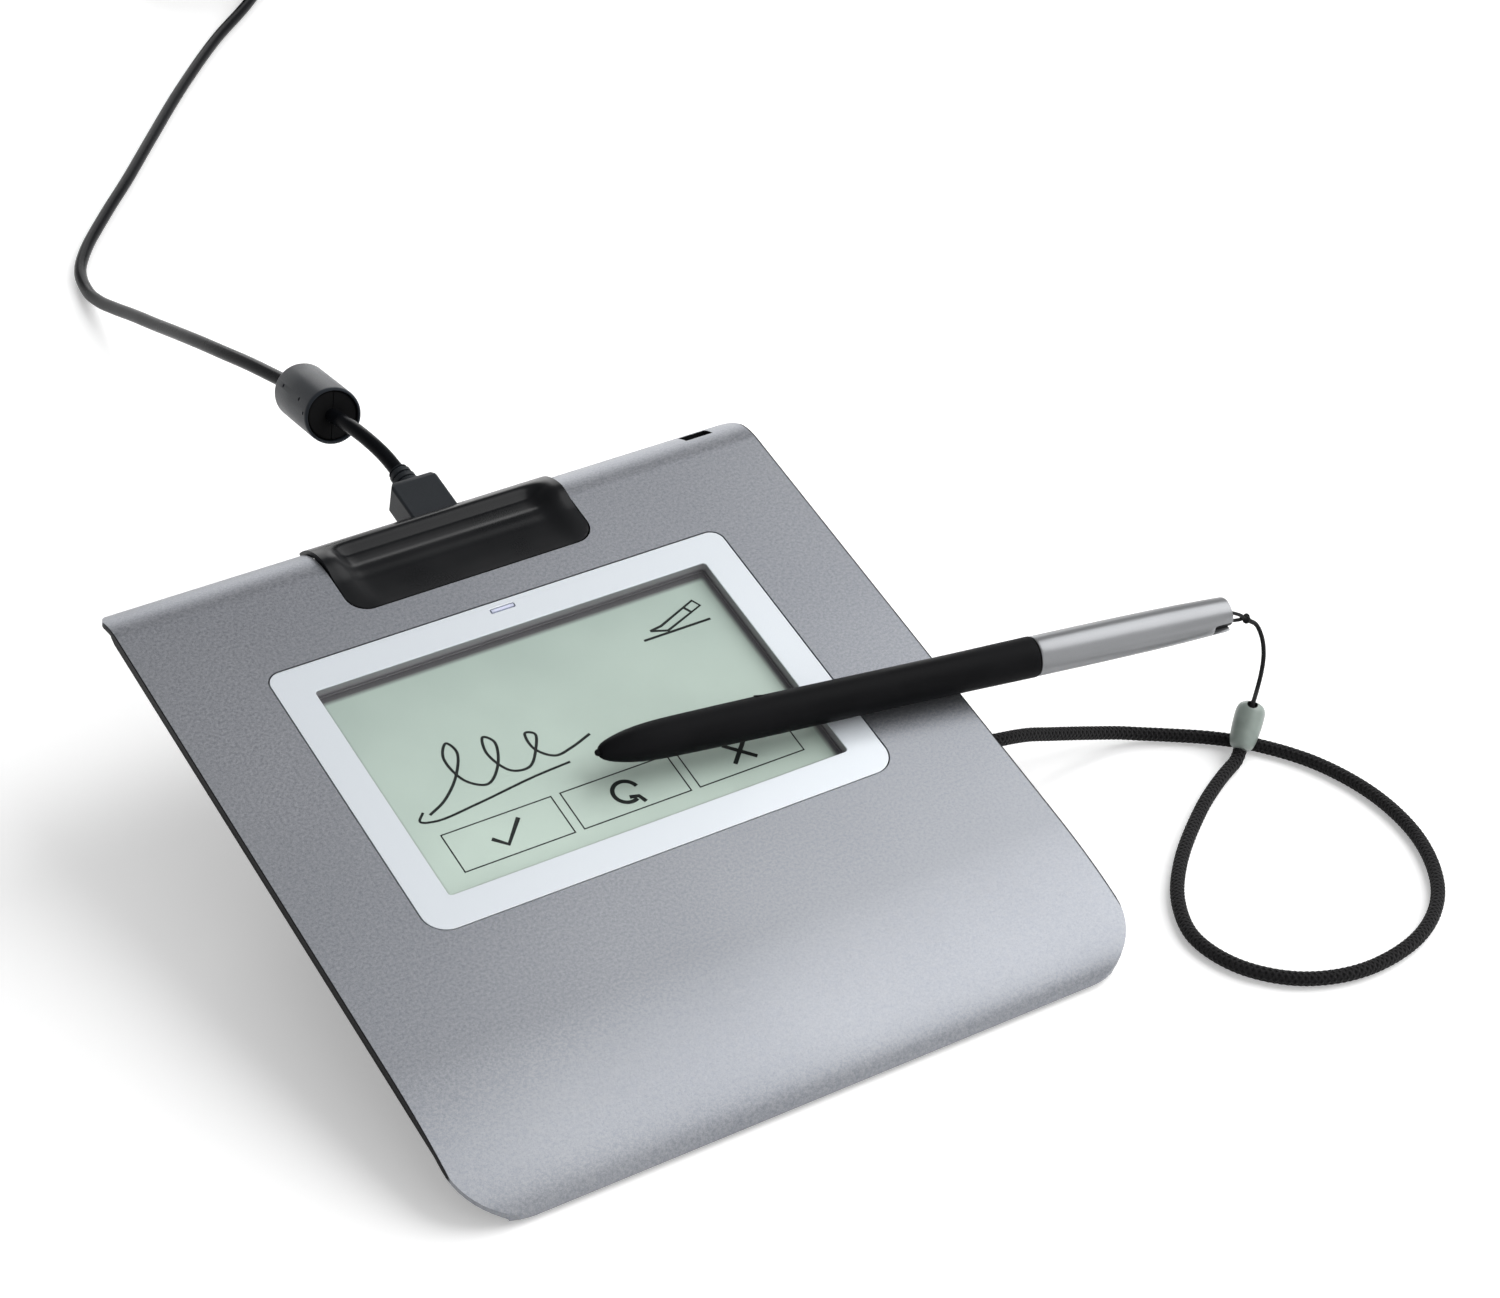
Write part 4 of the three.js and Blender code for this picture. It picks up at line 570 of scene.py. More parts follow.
leadRoute = lead["short"] + lead["inFerrite"] + lead["run"] + coilRoute() + lead["tail"]
leadLine = [p * mm for p in smoothLine(leadRoute, 1.6)]
leadLength = sum((b - a).length for a, b in zip(leadLine, leadLine[1:]))
tetherLine = [p * mm for p in smoothLine(tether["route"], 0.8)]
tetherLength = sum((b - a).length for a, b in zip(tetherLine, tetherLine[1:]))
print("cord lengths: lead", round(leadLength, 4), "tether", round(tetherLength, 4))

leadJacket = grained("lead_jacket", (0.0034, 0.0038, 0.0048), (0.0056, 0.0062, 0.0076), 0.27, 1.4, 0.02, 0.05)
usbLead = tube("usbLead", leadLine, lead["diameter"] * mm)
placed(usbLead, Matrix.Identity(4), "usb_lead", leadJacket,
       ["usb_cord_short", "usb_cord_run", "usb_cord_coil", "usb_cord_tail"])


def braidFinish():
    # Two sets of strands that cross, from the tube's own UV map: u along the cord, v round it
    finish = Finish("tether_braid", {
        "Roughness": 0.8, "Specular IOR Level": 0.15, "Sheen Weight": 0.05, "Sheen Roughness": 0.5,
    })
    uv = finish.node("ShaderNodeUVMap", {"uv_map": "UVMap"})
    u, v = finish.split(uv)[:2]
    crossings = tetherLength / mm / tether["lay"]
    around = tether["strands"] / 2
    left = finish.maths("SINE", (u * crossings * around + v * around) * (2 * math.pi))
    right = finish.maths("SINE", (u * crossings * around - v * around) * (2 * math.pi))
    weave = finish.maths("MAXIMUM", left, right)
    fibre = finish.noise(9, 2)
    height = weave * 0.5 + fibre * 0.35
    # Painted shade: the colour follows the weave's height, darker in the hollows between strands, with random
    # fibre tone
    finish.colour(height, -0.2, 0.65, (0.0016, 0.0015, 0.0017), (0.013, 0.0125, 0.0135))
    finish.bump(height, 1.0, 0.4)
    return finish


def makeTether():
    # The finer line swells where a strand crosses the outline
    step = 0.3
    line = [p * mm for p in smoothLine(tether["route"], step)]
    crossing = tether["lay"] / (tether["strands"] / 2)
    return meshed(tube("tetherCord", line, tether["diameter"] * mm * (1 - tether["swell"]), 6, False,
                       lambda i: 1 + tether["swell"] * math.sin(2 * math.pi * i * step / crossing)))


tetherPiece = makeTether()
placed(tetherPiece, Matrix.Identity(4), "pad", braidFinish(), ["tether_cord"], angle=60)


# Housing
cover = {
    "width": 160, "front": -87.5, "rear": 87.5, "thickness": 1.2, "edgeDrop": 8,
    "frontRoll": 36.5, "rearRoll": 13.5, "corners": (14, 8), "easedEdge": 0.3,
    "paint": (0.185, 0.196, 0.222), "paintLight": (0.335, 0.345, 0.366), "roughness": 0.43, "metallic": 0.8,
    "edge": (0.008, 0.008, 0.009),  # the sheet's cut sides and the slot's walls, near black as painted shade
}
bezel = {
    "size": (112.2, 76.6), "centreY": 13.8425, "height": 1.9, "corners": (5.5, 3.2), "gap": 0.3,
    "window": (96.5, 60.8), "bar": (6.0, 1.3), "barY": 49.84,
    # wall: painted shade, the colour of the window's inner wall, darker than the bezel
    "colour": (0.655, 0.695, 0.735), "wall": (0.30, 0.296, 0.31),
}
rest = {
    "width": 60, "depth": 26.45, "corner": 5, "gap": 0.3, "thickness": 1.4, "bulge": 1.3, "bulgeLength": 8,
    "plugPocket": ((2 - 6.1, 82.1, -12), (2 + 6.1, 90, -2.4)),
    "groove": 3, "endMargin": 2.6, "endBlend": 4.5,
    "shares": [
        (0, 0), (0.06, 0.1), (0.2, 0.3), (0.36, 0.46), (0.44, 0.52), (0.5, 0.66), (0.57, 0.93),
        (0.62, 1), (0.67, 0.97), (0.72, 0.7), (0.78, 0.22), (0.83, 0.02), (0.88, 0), (1, 0),
    ],
    "colour": (0.0045, 0.0049, 0.0058), "worn": (0.0072, 0.0077, 0.0088),
}
slot = {"x": 68.7, "angle": 34, "size": (7, 3.9)}
rearRadius = (cover["rearRoll"] ** 2 + cover["edgeDrop"] ** 2) / (2 * cover["edgeDrop"])
rearTurn = math.asin(cover["rearRoll"] / rearRadius)
rearArcY = cover["rear"] - cover["rearRoll"]
frontArcY = cover["front"] + cover["frontRoll"]


def makeCover():
    c = cover
    deselectAll()
    flat = rearArcY - frontArcY
    bpy.ops.mesh.primitive_plane_add(size=1, location=(0, frontArcY + flat / 2, 0))
    resize((c["width"] + 2, flat, 1))
    piece = added("coverSheet")
    edit(piece)
    choose("EDGE", lambda e: abs(middle(e).y - rearArcY) < 0.01)
    bpy.ops.mesh.spin(steps=14, angle=rearTurn, center=(0, rearArcY, -rearRadius), axis=(1, 0, 0))
    choose("EDGE", lambda e: abs(middle(e).y - frontArcY) < 0.01 and abs(middle(e).z) < 0.01)
    bpy.ops.mesh.spin(steps=22, angle=90 * deg, center=(0, frontArcY, -c["frontRoll"]), axis=(-1, 0, 0))
    choose("VERT", lambda v: v.co.y < frontArcY - 0.01)
    resize((1, 1, c["edgeDrop"] / c["frontRoll"]), (0, frontArcY, 0))
    selectAll()
    bpy.ops.mesh.remove_doubles(threshold=0.001)
    bpy.ops.mesh.normals_make_consistent(inside=False)
    leave()
    if piece.data.polygons[0].normal.z < 0:
        piece.data.flip_normals()
    modify(piece, "SOLIDIFY", thickness=c["thickness"], offset=-1, use_even_offset=True)
    half = c["width"] / 2
    plan = (-half, c["front"], -12), (half, c["rear"], 2)
    cut(piece, roundedBlock("coverPlan", *plan, *c["corners"], 12), "INTERSECT")
    b, gap = bezel, bezel["gap"]
    size = [side + 2 * gap for side in b["size"]]
    cut(piece, plate("bezelOpening", size, b["centreY"], (-4, 2), [corner + gap for corner in b["corners"]]))
    w = rest["width"] / 2 + rest["gap"]
    front = c["rear"] - rest["depth"] - rest["gap"]
    cut(piece, roundedBlock("restOpening", (-w, front, -12), (w, c["rear"] + 20, 2), rest["corner"], 1))
    wide, tall = (side / 2 for side in slot["size"])
    sine, cosine = math.sin(slot["angle"] * deg), math.cos(slot["angle"] * deg)
    slotY, slotZ = rearArcY + rearRadius * sine, rearRadius * (cosine - 1)
    key = roundedBlock("slotTool", (-wide, -tall, -3), (wide, tall, 3), 0.5, 0.5, 3)
    key.data.transform(Matrix.Translation((slot["x"], slotY, slotZ)) @ turnBy(-slot["angle"], "X"))
    cut(piece, key)
    eased(piece, c["easedEdge"], 32)
    constants = {"Specular IOR Level": 0.03, "Coat Weight": 0.05, "Coat Roughness": 0.3}
    finish = Finish("cover_paint", constants, padFrame)
    flake = finish.noise(1.5, 2, 0.6)
    sparkle = finish.noise(4.5, 1, 0.5)
    cloud = finish.noise(0.012, 2)
    speckle = finish.spread(flake * 0.6 + sparkle * 0.4, 0, 0.75, 0.36, 0.64)
    tone = speckle + finish.spread(cloud, 0, 0.25, 0.3, 0.7)
    # Painted shade: the cover's left and right sides and the slot's walls are coloured near black, without
    # metal
    edge = finish.spread(abs(finish.x), 0, 1, half - 0.36, half - 0.22)
    downRoll = (finish.y - slotY) * cosine - (finish.z - slotZ) * sine
    inSlot = finish.within(finish.x, slot["x"], wide + 0.1, 0.03)
    edge = edge + inSlot * finish.within(downRoll, 0, tall + 0.1, 0.03)
    finish.give("Base Color", finish.mixed(edge, finish.mixed(tone, c["paint"], c["paintLight"]), c["edge"]))
    finish.give("Metallic", finish.spread(edge, c["metallic"], 0))
    finish.rough(flake, c["roughness"] - 0.06, c["roughness"] + 0.08, 0.3, 0.7)
    finish.bump(flake * 0.7 + sparkle * 0.3, 0.26, 0.07)
    placed(piece, padFrame, "pad", finish, ["top_cover"], 25, True)
    piece.name = "coverPanel"


def makeBezel():
    b = bezel
    y = b["centreY"]
    piece = plate("bezelPanel", b["size"], y, (-b["height"], 0), b["corners"], 12)
    cut(piece, plate("window", b["window"], y, (-5, 2), (0.8, 0.8), 4))
    cut(piece, plate("barOpening", b["bar"], b["barY"], (-5, 2), (0.3, 0.3), 3))
    eased(piece, 0.28, 40)
    finish = Finish("bezel_plastic", {"Metallic": 0.15, "Roughness": 0.34, "Coat Weight": 0.1}, padFrame)
    u, v = (side / 2 + 0.12 for side in b["window"])
    inWindow = finish.within(finish.x, 0, u, 0.03) * finish.within(finish.y, y, v, 0.03)
    # Painted shade: the window's inner wall, below its eased rim, takes the darker wall colour
    wall = inWindow * finish.spread(finish.z, 1, 0, -0.32, -0.22)
    grain = finish.noise(5, 1)
    pale = finish.mixed(finish.spread(grain, 0, 1, 0.35, 0.65), b["colour"], shaded(b["colour"], 1.05))
    finish.give("Base Color", finish.mixed(wall, pale, b["wall"]))
    finish.bump(grain, 0.15, 0.02)
    placed(piece, padFrame, "pad", finish, ["bezel_frame"], 25, True)


def coverHeight(y):
    if y <= rearArcY:
        return 0
    return -rearRadius + math.sqrt(rearRadius ** 2 - (y - rearArcY) ** 2)


def grooveAt(t):
    # Smooth curve through the measured depths
    line = [Vector((a, b, 0)) for a, b in rest["shares"]]
    fine = smoothLine([p * 100 for p in line], 2)
    for a, b in zip(fine, fine[1:]):
        if b.x >= t * 100:
            return (a.y + (b.y - a.y) * (t * 100 - a.x) / max(b.x - a.x, 1e-6)) / 100
    return 0


def makeRest():
    r = rest
    rear = cover["rear"]
    front = rear - r["depth"]
    columns, rows = 40, 66
    deselectAll()
    bpy.ops.mesh.primitive_grid_add(
        x_subdivisions=columns, y_subdivisions=rows, size=1, location=(0, front + r["depth"] / 2, 0),
    )
    resize((r["width"], r["depth"], 1))
    piece = added("penRestPanel")
    edit(piece)
    lines = [front + r["depth"] * i / rows for i in range(rows + 1)]
    for y in lines[1:]:
        depth = r["groove"] * grooveAt((y - front) / r["depth"])
        if abs(depth) > 0.001:
            choose("VERT", lambda v: abs(v.co.y - y) < 0.01)
            move((0, 0, -depth))
    half = r["width"] / 2
    for i in range(columns + 1):
        x = -half + r["width"] * i / columns
        share = smoothStep((half - r["endMargin"] - abs(x)) / r["endBlend"])
        if share < 1:
            choose("VERT", lambda v: abs(v.co.x - x) < 0.01)
            resize((1, 1, share), (x, 0, 0))
    for y in lines:
        proud = r["bulge"] * smoothStep((y - rearArcY + r["bulgeLength"] / 2) / r["bulgeLength"])
        choose("VERT", lambda v: abs(v.co.y - y) < 0.01)
        move((0, 0, coverHeight(y) + proud))
    leave()
    if piece.data.polygons[0].normal.z < 0:
        piece.data.flip_normals()
    modify(piece, "SOLIDIFY", thickness=r["thickness"], offset=-1)
    plan = roundedBlock("restPlan", (-half, front, -14), (half, rear + 30, 4), r["corner"], 1, 10)
    cut(piece, plan, "INTERSECT")
    cut(piece, block("plugPocket", *r["plugPocket"]))
    eased(piece, 0.35, 40, 3)
    finish = Finish("black_plastic_rest", {"Roughness": 0.3, "Specular IOR Level": 0.15}, padFrame)
    fine = finish.noise(6, 2)
    drift = finish.noise(0.05, 2)
    finish.colour(drift, 0.3, 0.7, r["colour"], r["worn"])
    finish.rough(drift + fine * 0.3, 0.25, 0.35, 0.45, 0.85)
    finish.bump(fine, 0.25, 0.015)
    placed(piece, padFrame, "pad", finish, ["pen_rest"], 35, True)


makeCover()
print("cover made")
makeBezel()
makeRest()
print("bezel and pen rest made")

# Pen, in its own frame along X from the tip
pen = {
    "length": 152.3, "grip": 103.5, "radius": 4.6, "endRadius": 3.95, "noseLength": 15, "sides": 64,
    "nose": [
        (0.01, 0.27), (0.05, 0.38), (0.12, 0.49), (0.2, 0.58), (0.33, 0.69), (0.45, 0.77), (0.6, 0.84),
        (0.8, 0.895), (1, 0.925),
    ],
    "body": [(0.13, 0.94), (0.24, 0.975), (0.4, 0.965), (0.55, 0.97)],
    "black": (0.0042, 0.0044, 0.005), "silver": (0.24, 0.245, 0.254),
    "nibBore": 1.1, "boreEnd": 29.7, "bore": 2.8, "wall": 0.9, "spigot": 7, "gap": 0.3,
    "barrelBore": 3.7, "endBore": 3.05, "step": (135.3, 138),  # where the barrel's bore narrows to its end's
    "nub": {"at": 37.5, "length": 2.6, "width": 1.2, "rise": 0.28, "turn": -42},  # on the upper side
}


def makePen():
    p = pen
    big = p["radius"]
    nose = [(1 + a * p["noseLength"], b * big) for a, b in p["nose"]]
    outer = nose + [(a * p["length"], b * big) for a, b in p["body"]] + [(p["grip"] - 0.6, big)]
    outer = smoothPairs(outer, 1.6)
    start = nose[0][0]
    grip, long, wall = p["grip"], p["spigot"], p["wall"]
    spigot = big - wall - p["gap"]
    profile = [(start, p["nibBore"])] + outer + [
        (grip - 0.2, big - 0.03), (grip, big - 0.25), (grip, spigot), (grip + long, spigot),
        (grip + long, spigot - wall), (grip - long, spigot - wall), (grip - 2 * long, p["bore"]),
        (p["boreEnd"], p["bore"]), (p["boreEnd"], p["nibBore"]), (start, p["nibBore"]),
    ]
    piece = turned("penGrip", profile, p["sides"], True)
    n = p["nub"]
    half, end = n["width"] / 2, n["at"] + n["length"]
    wedge = block("penNub", (n["at"], -half, big - 1.2), (end, half, big * 0.967 + n["rise"]))
    edit(wedge)
    choose("VERT", lambda v: v.co.x > n["at"] + n["length"] / 2 and v.co.z > big - 1)
    move((0, 0, -n["rise"] - 0.05))
    leave()
    wedge.data.transform(turnBy(n["turn"], "X"))
    cut(piece, wedge, "UNION")
    finish = Finish("pen_black", {"Roughness": 0.52, "Specular IOR Level": 0.05}, penFrame)
    fine = finish.noise(7, 2)
    worn = finish.noise(0.09, 3)
    finish.colour(worn, 0.35, 0.65, p["black"], (0.007, 0.0072, 0.008))
    finish.rough(worn + fine * 0.2, 0.44, 0.6, 0.45, 0.75)
    finish.bump(fine, 0.35, 0.02)
    placed(piece, penFrame, "pen", finish, ["pen_grip"], 40)

    end, small, bore = p["length"], p["endRadius"], p["barrelBore"]
    start, run = grip + p["gap"], end - grip
    shell = [(start, bore), (start, big * 0.955), (start + 0.18, big * 0.972), (start + 0.5, big * 0.98)]
    curve = [(start + 0.5, big * 0.98), (grip + run * 0.33, big * 0.985), (grip + run * 0.7, big * 0.955),
             (grip + run * 0.88, big * 0.905), (end - 0.5, small + 0.02)]
    shell += smoothPairs(curve, 2.4)[1:]
    shell += [(end - 0.15, small - 0.08), (end, small - 0.3), (end, p["endBore"])]
    shell += [(p["step"][1], p["endBore"]), (p["step"][0], bore), (start, bore)]
    barrel = turned("penBarrel", shell, p["sides"], True)
    key = roundedBlock("penKey", (end - 4.7, -1.4, -8), (end + 1, 1.4, 0), 0.5, 0.1, 3)
    key.data.transform(turnBy(-87, "X"))
    cut(barrel, key)
    eased(barrel, 0.08, 50)
    finish = Finish("pen_silver", {"Metallic": 0.7, "Roughness": 0.34}, penFrame)
    flake = finish.noise(6, 1)
    drift = finish.noise(0.1, 2)
    silver = p["silver"]
    tone = finish.spread(flake * 0.6 + drift * 0.4, 0, 1, 0.4, 0.6)
    finish.give("Base Color", finish.mixed(tone, shaded(silver, 0.93), silver))
    finish.rough(flake, 0.3, 0.4, 0.3, 0.7)
    finish.bump(flake, 0.12, 0.02)
    placed(barrel, penFrame, "pen", finish, ["pen_barrel"], 35)


makePen()
print("pen made")

# Bead on the tether
bead = {"radius": 3.4, "length": 11.04, "colour": (0.19, 0.225, 0.205),
        "mouth": 1.2, "mouthOut": 2.55, "mouthTurn": 115, "mouthDrop": 0.9}


def beadMouth():
    # Where the thread goes in, in the bead's frame
    side = bead["mouthTurn"] * deg
    out = bead["mouthOut"]
    return Vector((bead["length"] - bead["mouthDrop"], out * math.cos(side), out * math.sin(side)))


def makeBead():
    r, l = bead["radius"], bead["length"]
    curve = [(0, r * 0.5), (r * 0.16, r * 0.72), (r * 0.5, r * 0.86), (l * 0.35, r * 0.95), (l * 0.72, r),
             (l * 0.86, r * 0.95), (l * 0.95, r * 0.8), (l, r * 0.55)]
    profile = smoothPairs(curve, 0.4)
    profile = [(0.6, 0.35)] + [(0.3, r * 0.42)] + profile + [(l - 0.25, r * 0.42), (l - 0.5, 0.35)]
    piece = turned("tetherBead", profile, 40)
    mouth = beadMouth()
    deselectAll()
    bpy.ops.mesh.primitive_uv_sphere_add(segments=24, ring_count=16, radius=bead["mouth"], location=mouth)
    cut(piece, added("mouth"))
    constants = {"Roughness": 0.36, "Subsurface Weight": 0.2, "Coat Weight": 0.2, "Coat Roughness": 0.2}
    finish = Finish("bead_plastic", constants, beadFrame)
    finish.shader.inputs["Subsurface Radius"].default_value = (0.002, 0.002, 0.002)
    cloud = finish.noise(0.25, 2)
    pale = finish.mixed(finish.spread(cloud, 0, 1, 0.35, 0.65), bead["colour"], shaded(bead["colour"], 1.25))
    # Painted shade: the inside of the thread's hole is coloured near black
    offset = [a - b for a, b in zip((finish.x, finish.y, finish.z), mouth)]
    inside = finish.maths("LESS_THAN", sum(a * a for a in offset), (bead["mouth"] + 0.05) ** 2)
    finish.give("Base Color", finish.mixed(inside, pale, (0.01, 0.012, 0.011)))
    finish.bump(finish.noise(3, 2), 0.2, 0.04)
    placed(piece, beadFrame, "pad", finish, ["tether_bead"], 45)
    return piece


beadPiece = makeBead()


def yarnFinish():
    finish = Finish("thread_yarn", {"Roughness": 0.8, "Specular IOR Level": 0.2, "Sheen Weight": 0.08})
    fibre = finish.noise(6, 2)
    finish.give("Base Color", finish.mixed(fibre, (0.002, 0.002, 0.0024), (0.012, 0.012, 0.0134)))
    finish.bump(fibre, 0.8, 0.12)
    return finish


def knotLine(centre, size, count=96):
    # A trefoil pulled tight
    line = []
    for i in range(count):
        t = 2 * math.pi * i / count
        x, y = math.sin(t) + 2 * math.sin(2 * t), math.cos(t) - 2 * math.cos(2 * t)
        line.append(Vector(centre) + size * Vector((x, y, -math.sin(3 * t))))
    return line


def makeThread():
    yarn = yarnFinish()

    def strung(name, line, width, place, body, node, closed=True):
        piece = meshed(tube(name, line, width, 3, closed))
        placed(piece, place, body, yarn, [node], 60)

    mouth = beadMouth()
    ends = [(mouth.x + a, mouth.y * b, mouth.z * b) for a, b in ((-0.9, 0.72), (0.7, 0.8))]
    ends = [beadFrame @ Vector(end) / mm for end in ends]
    line = [p * mm for p in smoothLine(ends + thread["route"], 0.4)]
    here = Matrix.Identity(4)
    strung("tetherThread", line, thread["diameter"] * mm, here, "pen", "tether_thread", False)
    fine = thread["loopDiameter"]
    strung("threadKnot", knotLine(thread["knot"], 0.32), fine, penFrame, "pen", "thread_knot")
    bar, end = Vector((pen["length"] - thread["barIn"], 0, 0)), Vector(thread["knot"])
    way = (end - bar).normalized()
    across = Vector((-way.z, 0, way.x))
    reach, around = (end - bar).length - 0.9, thread["barRound"]
    loop = []
    for i in range(40):
        angle = 2 * math.pi * i / 40
        far = around if math.cos(angle) < 0 else reach
        loop.append(bar + way * far * math.cos(angle) + across * around * math.sin(angle))
    strung("threadLoop", loop, fine, penFrame, "pen", "thread_loop")
    strung("stopKnot", knotLine(thread["stopKnot"], 0.5), 1.3, padFrame, "pad", "tether_stop_knot")


makeThread()
print("bead, thread and knots made")

# USB lead: plug, collar, ferrite
plug = {
    "x": 2, "front": 82.4, "length": 13.65, "size": (11.6, 7.8), "drop": 6.6,
    "colour": (0.0175, 0.020, 0.0232), "collarGap": 0.3, "collarLength": 5.5, "ribs": (3.0, 2.78, 2.55),
}
ferrite = {"radius": 6.8, "length": 24.9, "round": 1.6, "dots": [(18.7, 23), (6.7, 22), (2, 3)],
           "colour": (0.021, 0.0245, 0.030)}


def makePlug():
    p = plug
    w, h = p["size"][0] / 2, p["size"][1] / 2
    end = p["front"] + p["length"]
    x, z = p["x"], -p["drop"]
    piece = block("usbPlugBody", (x - w, p["front"], z - h), (x + w, end - 1.4, z + h))
    edit(piece)
    choose("FACE", lambda f: f.normal.y > 0.9)
    extrude((0, 1.4, 0))
    resize((0.84, 1, 0.9), (x, end, z))
    choose("FACE", lambda f: f.normal.y > 0.99)
    bpy.ops.mesh.inset(thickness=0.9)
    move((0, 0.25, 0))
    choose("EDGE", lambda e: abs((e.verts[0].co - e.verts[1].co).normalized().y) > 0.9)
    bevel(0.7, 4)
    choose("FACE", lambda f: f.normal.z > 0.99)  # shallow thumb panel on top
    bpy.ops.mesh.inset(thickness=1.1)
    move((0, 0, -0.16))
    leave()
    eased(piece, 0.16, 25)
    plastic = grained("plug_plastic", p["colour"], shaded(p["colour"], 1.25), 0.42, 3.0, 0.03, 0.14, padFrame)
    placed(piece, padFrame, "usb_lead", plastic, ["usb_plug_body"], 30, True)

    ribs, long = p["ribs"], p["collarLength"]
    profile = [(0, 2.1), (0, ribs[0])]
    for i, radius in enumerate(ribs):
        at = long / len(ribs) * i
        rib = [(0.1, radius), (0.95, radius), (1.08, radius - 0.12)]
        rib += [(1.14, radius * 0.72), (1.66, radius * 0.7), (1.72, radius * 0.9)]
        profile += [(at + a, b) for a, b in rib]
    profile += [(long, 2.3), (long, 1.0)]
    collar = turned("usbPlugCollar", profile, 40)
    collar.data.transform(Matrix.Translation((x, end + p["collarGap"], z)) @ turnBy(90, "Z"))
    placed(collar, padFrame, "usb_lead", plastic, ["usb_plug_collar"], 30)
    return plastic


def makeFerrite():
    f = ferrite
    r, l, c = f["radius"], f["length"], f["round"]
    curve = [(0, r - 0.5), (0.12, r - 0.22), (0.4, r - 0.05), (1.1, r), (l * 0.5, r + 0.02), (l - c, r),
             (l - c * 0.55, r - c * 0.13), (l - c * 0.18, r - c * 0.5), (l - 0.02, r - c)]
    profile = [(0.1, 6.15)] + curve + [(l, 2.6), (l - 0.3, 2.02), (l - c, 2.02), (l - c, 6.2), (0.1, 6.15)]
    piece = turned("ferriteCover", profile, 64, True)
    for along, turn in f["dots"]:
        bpy.ops.object.select_all(action="DESELECT")
        bpy.ops.mesh.primitive_cylinder_add(vertices=16, radius=0.46, depth=2, location=(along, r, 0))
        bpy.ops.transform.rotate(value=-90 * deg, orient_axis="X", center_override=(along, r, 0))
        pin = added("pin")
        pin.data.transform(turnBy(turn, "X"))
        cut(piece, pin)
    seam = block("seam", (-1, -r - 1, -0.07), (l + 1, -r + 0.12, 0.07))
    cut(piece, seam)
    finish = Finish("ferrite_shell", {"Roughness": 0.34, "Specular IOR Level": 0.09}, ferriteFrame)
    fine = finish.noise(4, 2)
    drift = finish.noise(0.06, 3)
    colour = f["colour"]
    finish.colour(drift, 0.35, 0.65, colour, shaded(colour, 1.18))
    finish.rough(fine, 0.3, 0.4, 0.3, 0.7)
    finish.bump(fine, 0.12, 0.02)
    placed(piece, ferriteFrame, "usb_lead", finish, ["ferrite_cover"], 35)

    end = l - c - 0.3
    profile = [(0.8, 1.0), (0.8, 2.3), (0.72, 2.45), (0.72, 5.6), (0.9, 5.85), (end, 5.85), (end, 1.0)]
    core = turned("ferriteCore", profile)
    groove = block("splitLine", (0, -0.09, -7), (1.2, 0.09, 7))
    cut(core, groove)
    finish = Finish("ferrite_ceramic", {"Roughness": 0.62, "Specular IOR Level": 0.1}, ferriteFrame)
    grit = finish.noise(3, 4, 0.7)
    finish.give("Base Color", finish.mixed(grit, (0.0022, 0.0022, 0.0024), (0.008, 0.008, 0.0085)))
    finish.rough(grit, 0.5, 0.75, 0.3, 0.7)
    finish.bump(grit, 0.5, 0.05)
    placed(core, ferriteFrame, "usb_lead", finish, ["ferrite_core"], 35)


plugPlastic = makePlug()
makeFerrite()
print("plug and ferrite made")

# CAD nodes that keep their own shape or get an eased copy
plastics = {
    "black_plastic": ((0.006, 0.0063, 0.007), (0.010, 0.0105, 0.0115), 0.5, 3.0, 0.03, 0.25),
    "shell_plastic": ((0.004, 0.0042, 0.0048), (0.0072, 0.0076, 0.0084), 0.55, 2.4, 0.05, 0.04),
    # The lcd holder is grey, not black: the painted shade of the window's wall, carried down the recess
    "holder_wall_painted_shade": ((0.20, 0.196, 0.206), (0.23, 0.225, 0.236), 0.5, 3.0, 0.02, 0.25),
    "foot_rubber": ((0.011, 0.011, 0.0115), (0.021, 0.021, 0.021), 0.86, 1.8, 0.08),
    "nib_plastic": ((0.006, 0.006, 0.0065), (0.010, 0.010, 0.011), 0.5, 5.0, 0.01, 0.06),
    "tongue_plastic": ((0.74, 0.74, 0.72), (0.8, 0.8, 0.79), 0.5, 3.0, 0.01),
}
blackFine, shellPlastic, holderPaintedShade, rubber, nibPlastic, tonguePlastic = (
    grained(name, *settings) for name, settings in plastics.items()
)
steel = brushed("plain_steel", (0.58, 0.585, 0.59), 0.32)
screwSteel = brushed("screw_steel", (0.5, 0.5, 0.51), 0.28)
easedCopies = {
    "bottom_shell": ("pad", "shell_plastic", shellPlastic, 0.3),
    "lcd_holder": ("pad", "black_plastic", holderPaintedShade, 0.1),
    "tether_anchor": ("pad", "black_plastic", blackFine, 0.25),
    "stand_leg": ("stand", "shell_plastic", shellPlastic, 0.3),
    "stand_foot": ("stand", "foot_rubber", rubber, 0.3),
    "front_foot": ("pad", "foot_rubber", rubber, 0.25),
    "rear_foot_left": ("pad", "foot_rubber", rubber, 0.25),
    "rear_foot_right": ("pad", "foot_rubber", rubber, 0.25),
    "pen_end_insert": ("pen", "black_plastic", blackFine, 0.1),
    "pen_nib": ("nib", "nib_plastic", nibPlastic, 0.02),
    "lock_plate": ("pad", "plain_steel", steel, 0.08),
}
footSeat = 0.3  # the gap that the solids leave between the stand's leg and its foot


def raiseTop(piece, rise):
    # Lifts a piece's top face along the pad's own upright
    up = tiltTurn @ Vector((0, 0, 1))
    top = max(up.dot(v.co) for v in piece.data.vertices)
    edit(piece)
    choose("VERT", lambda v: up.dot(v.co) > top - 0.1)
    move(up * rise)
    leave()


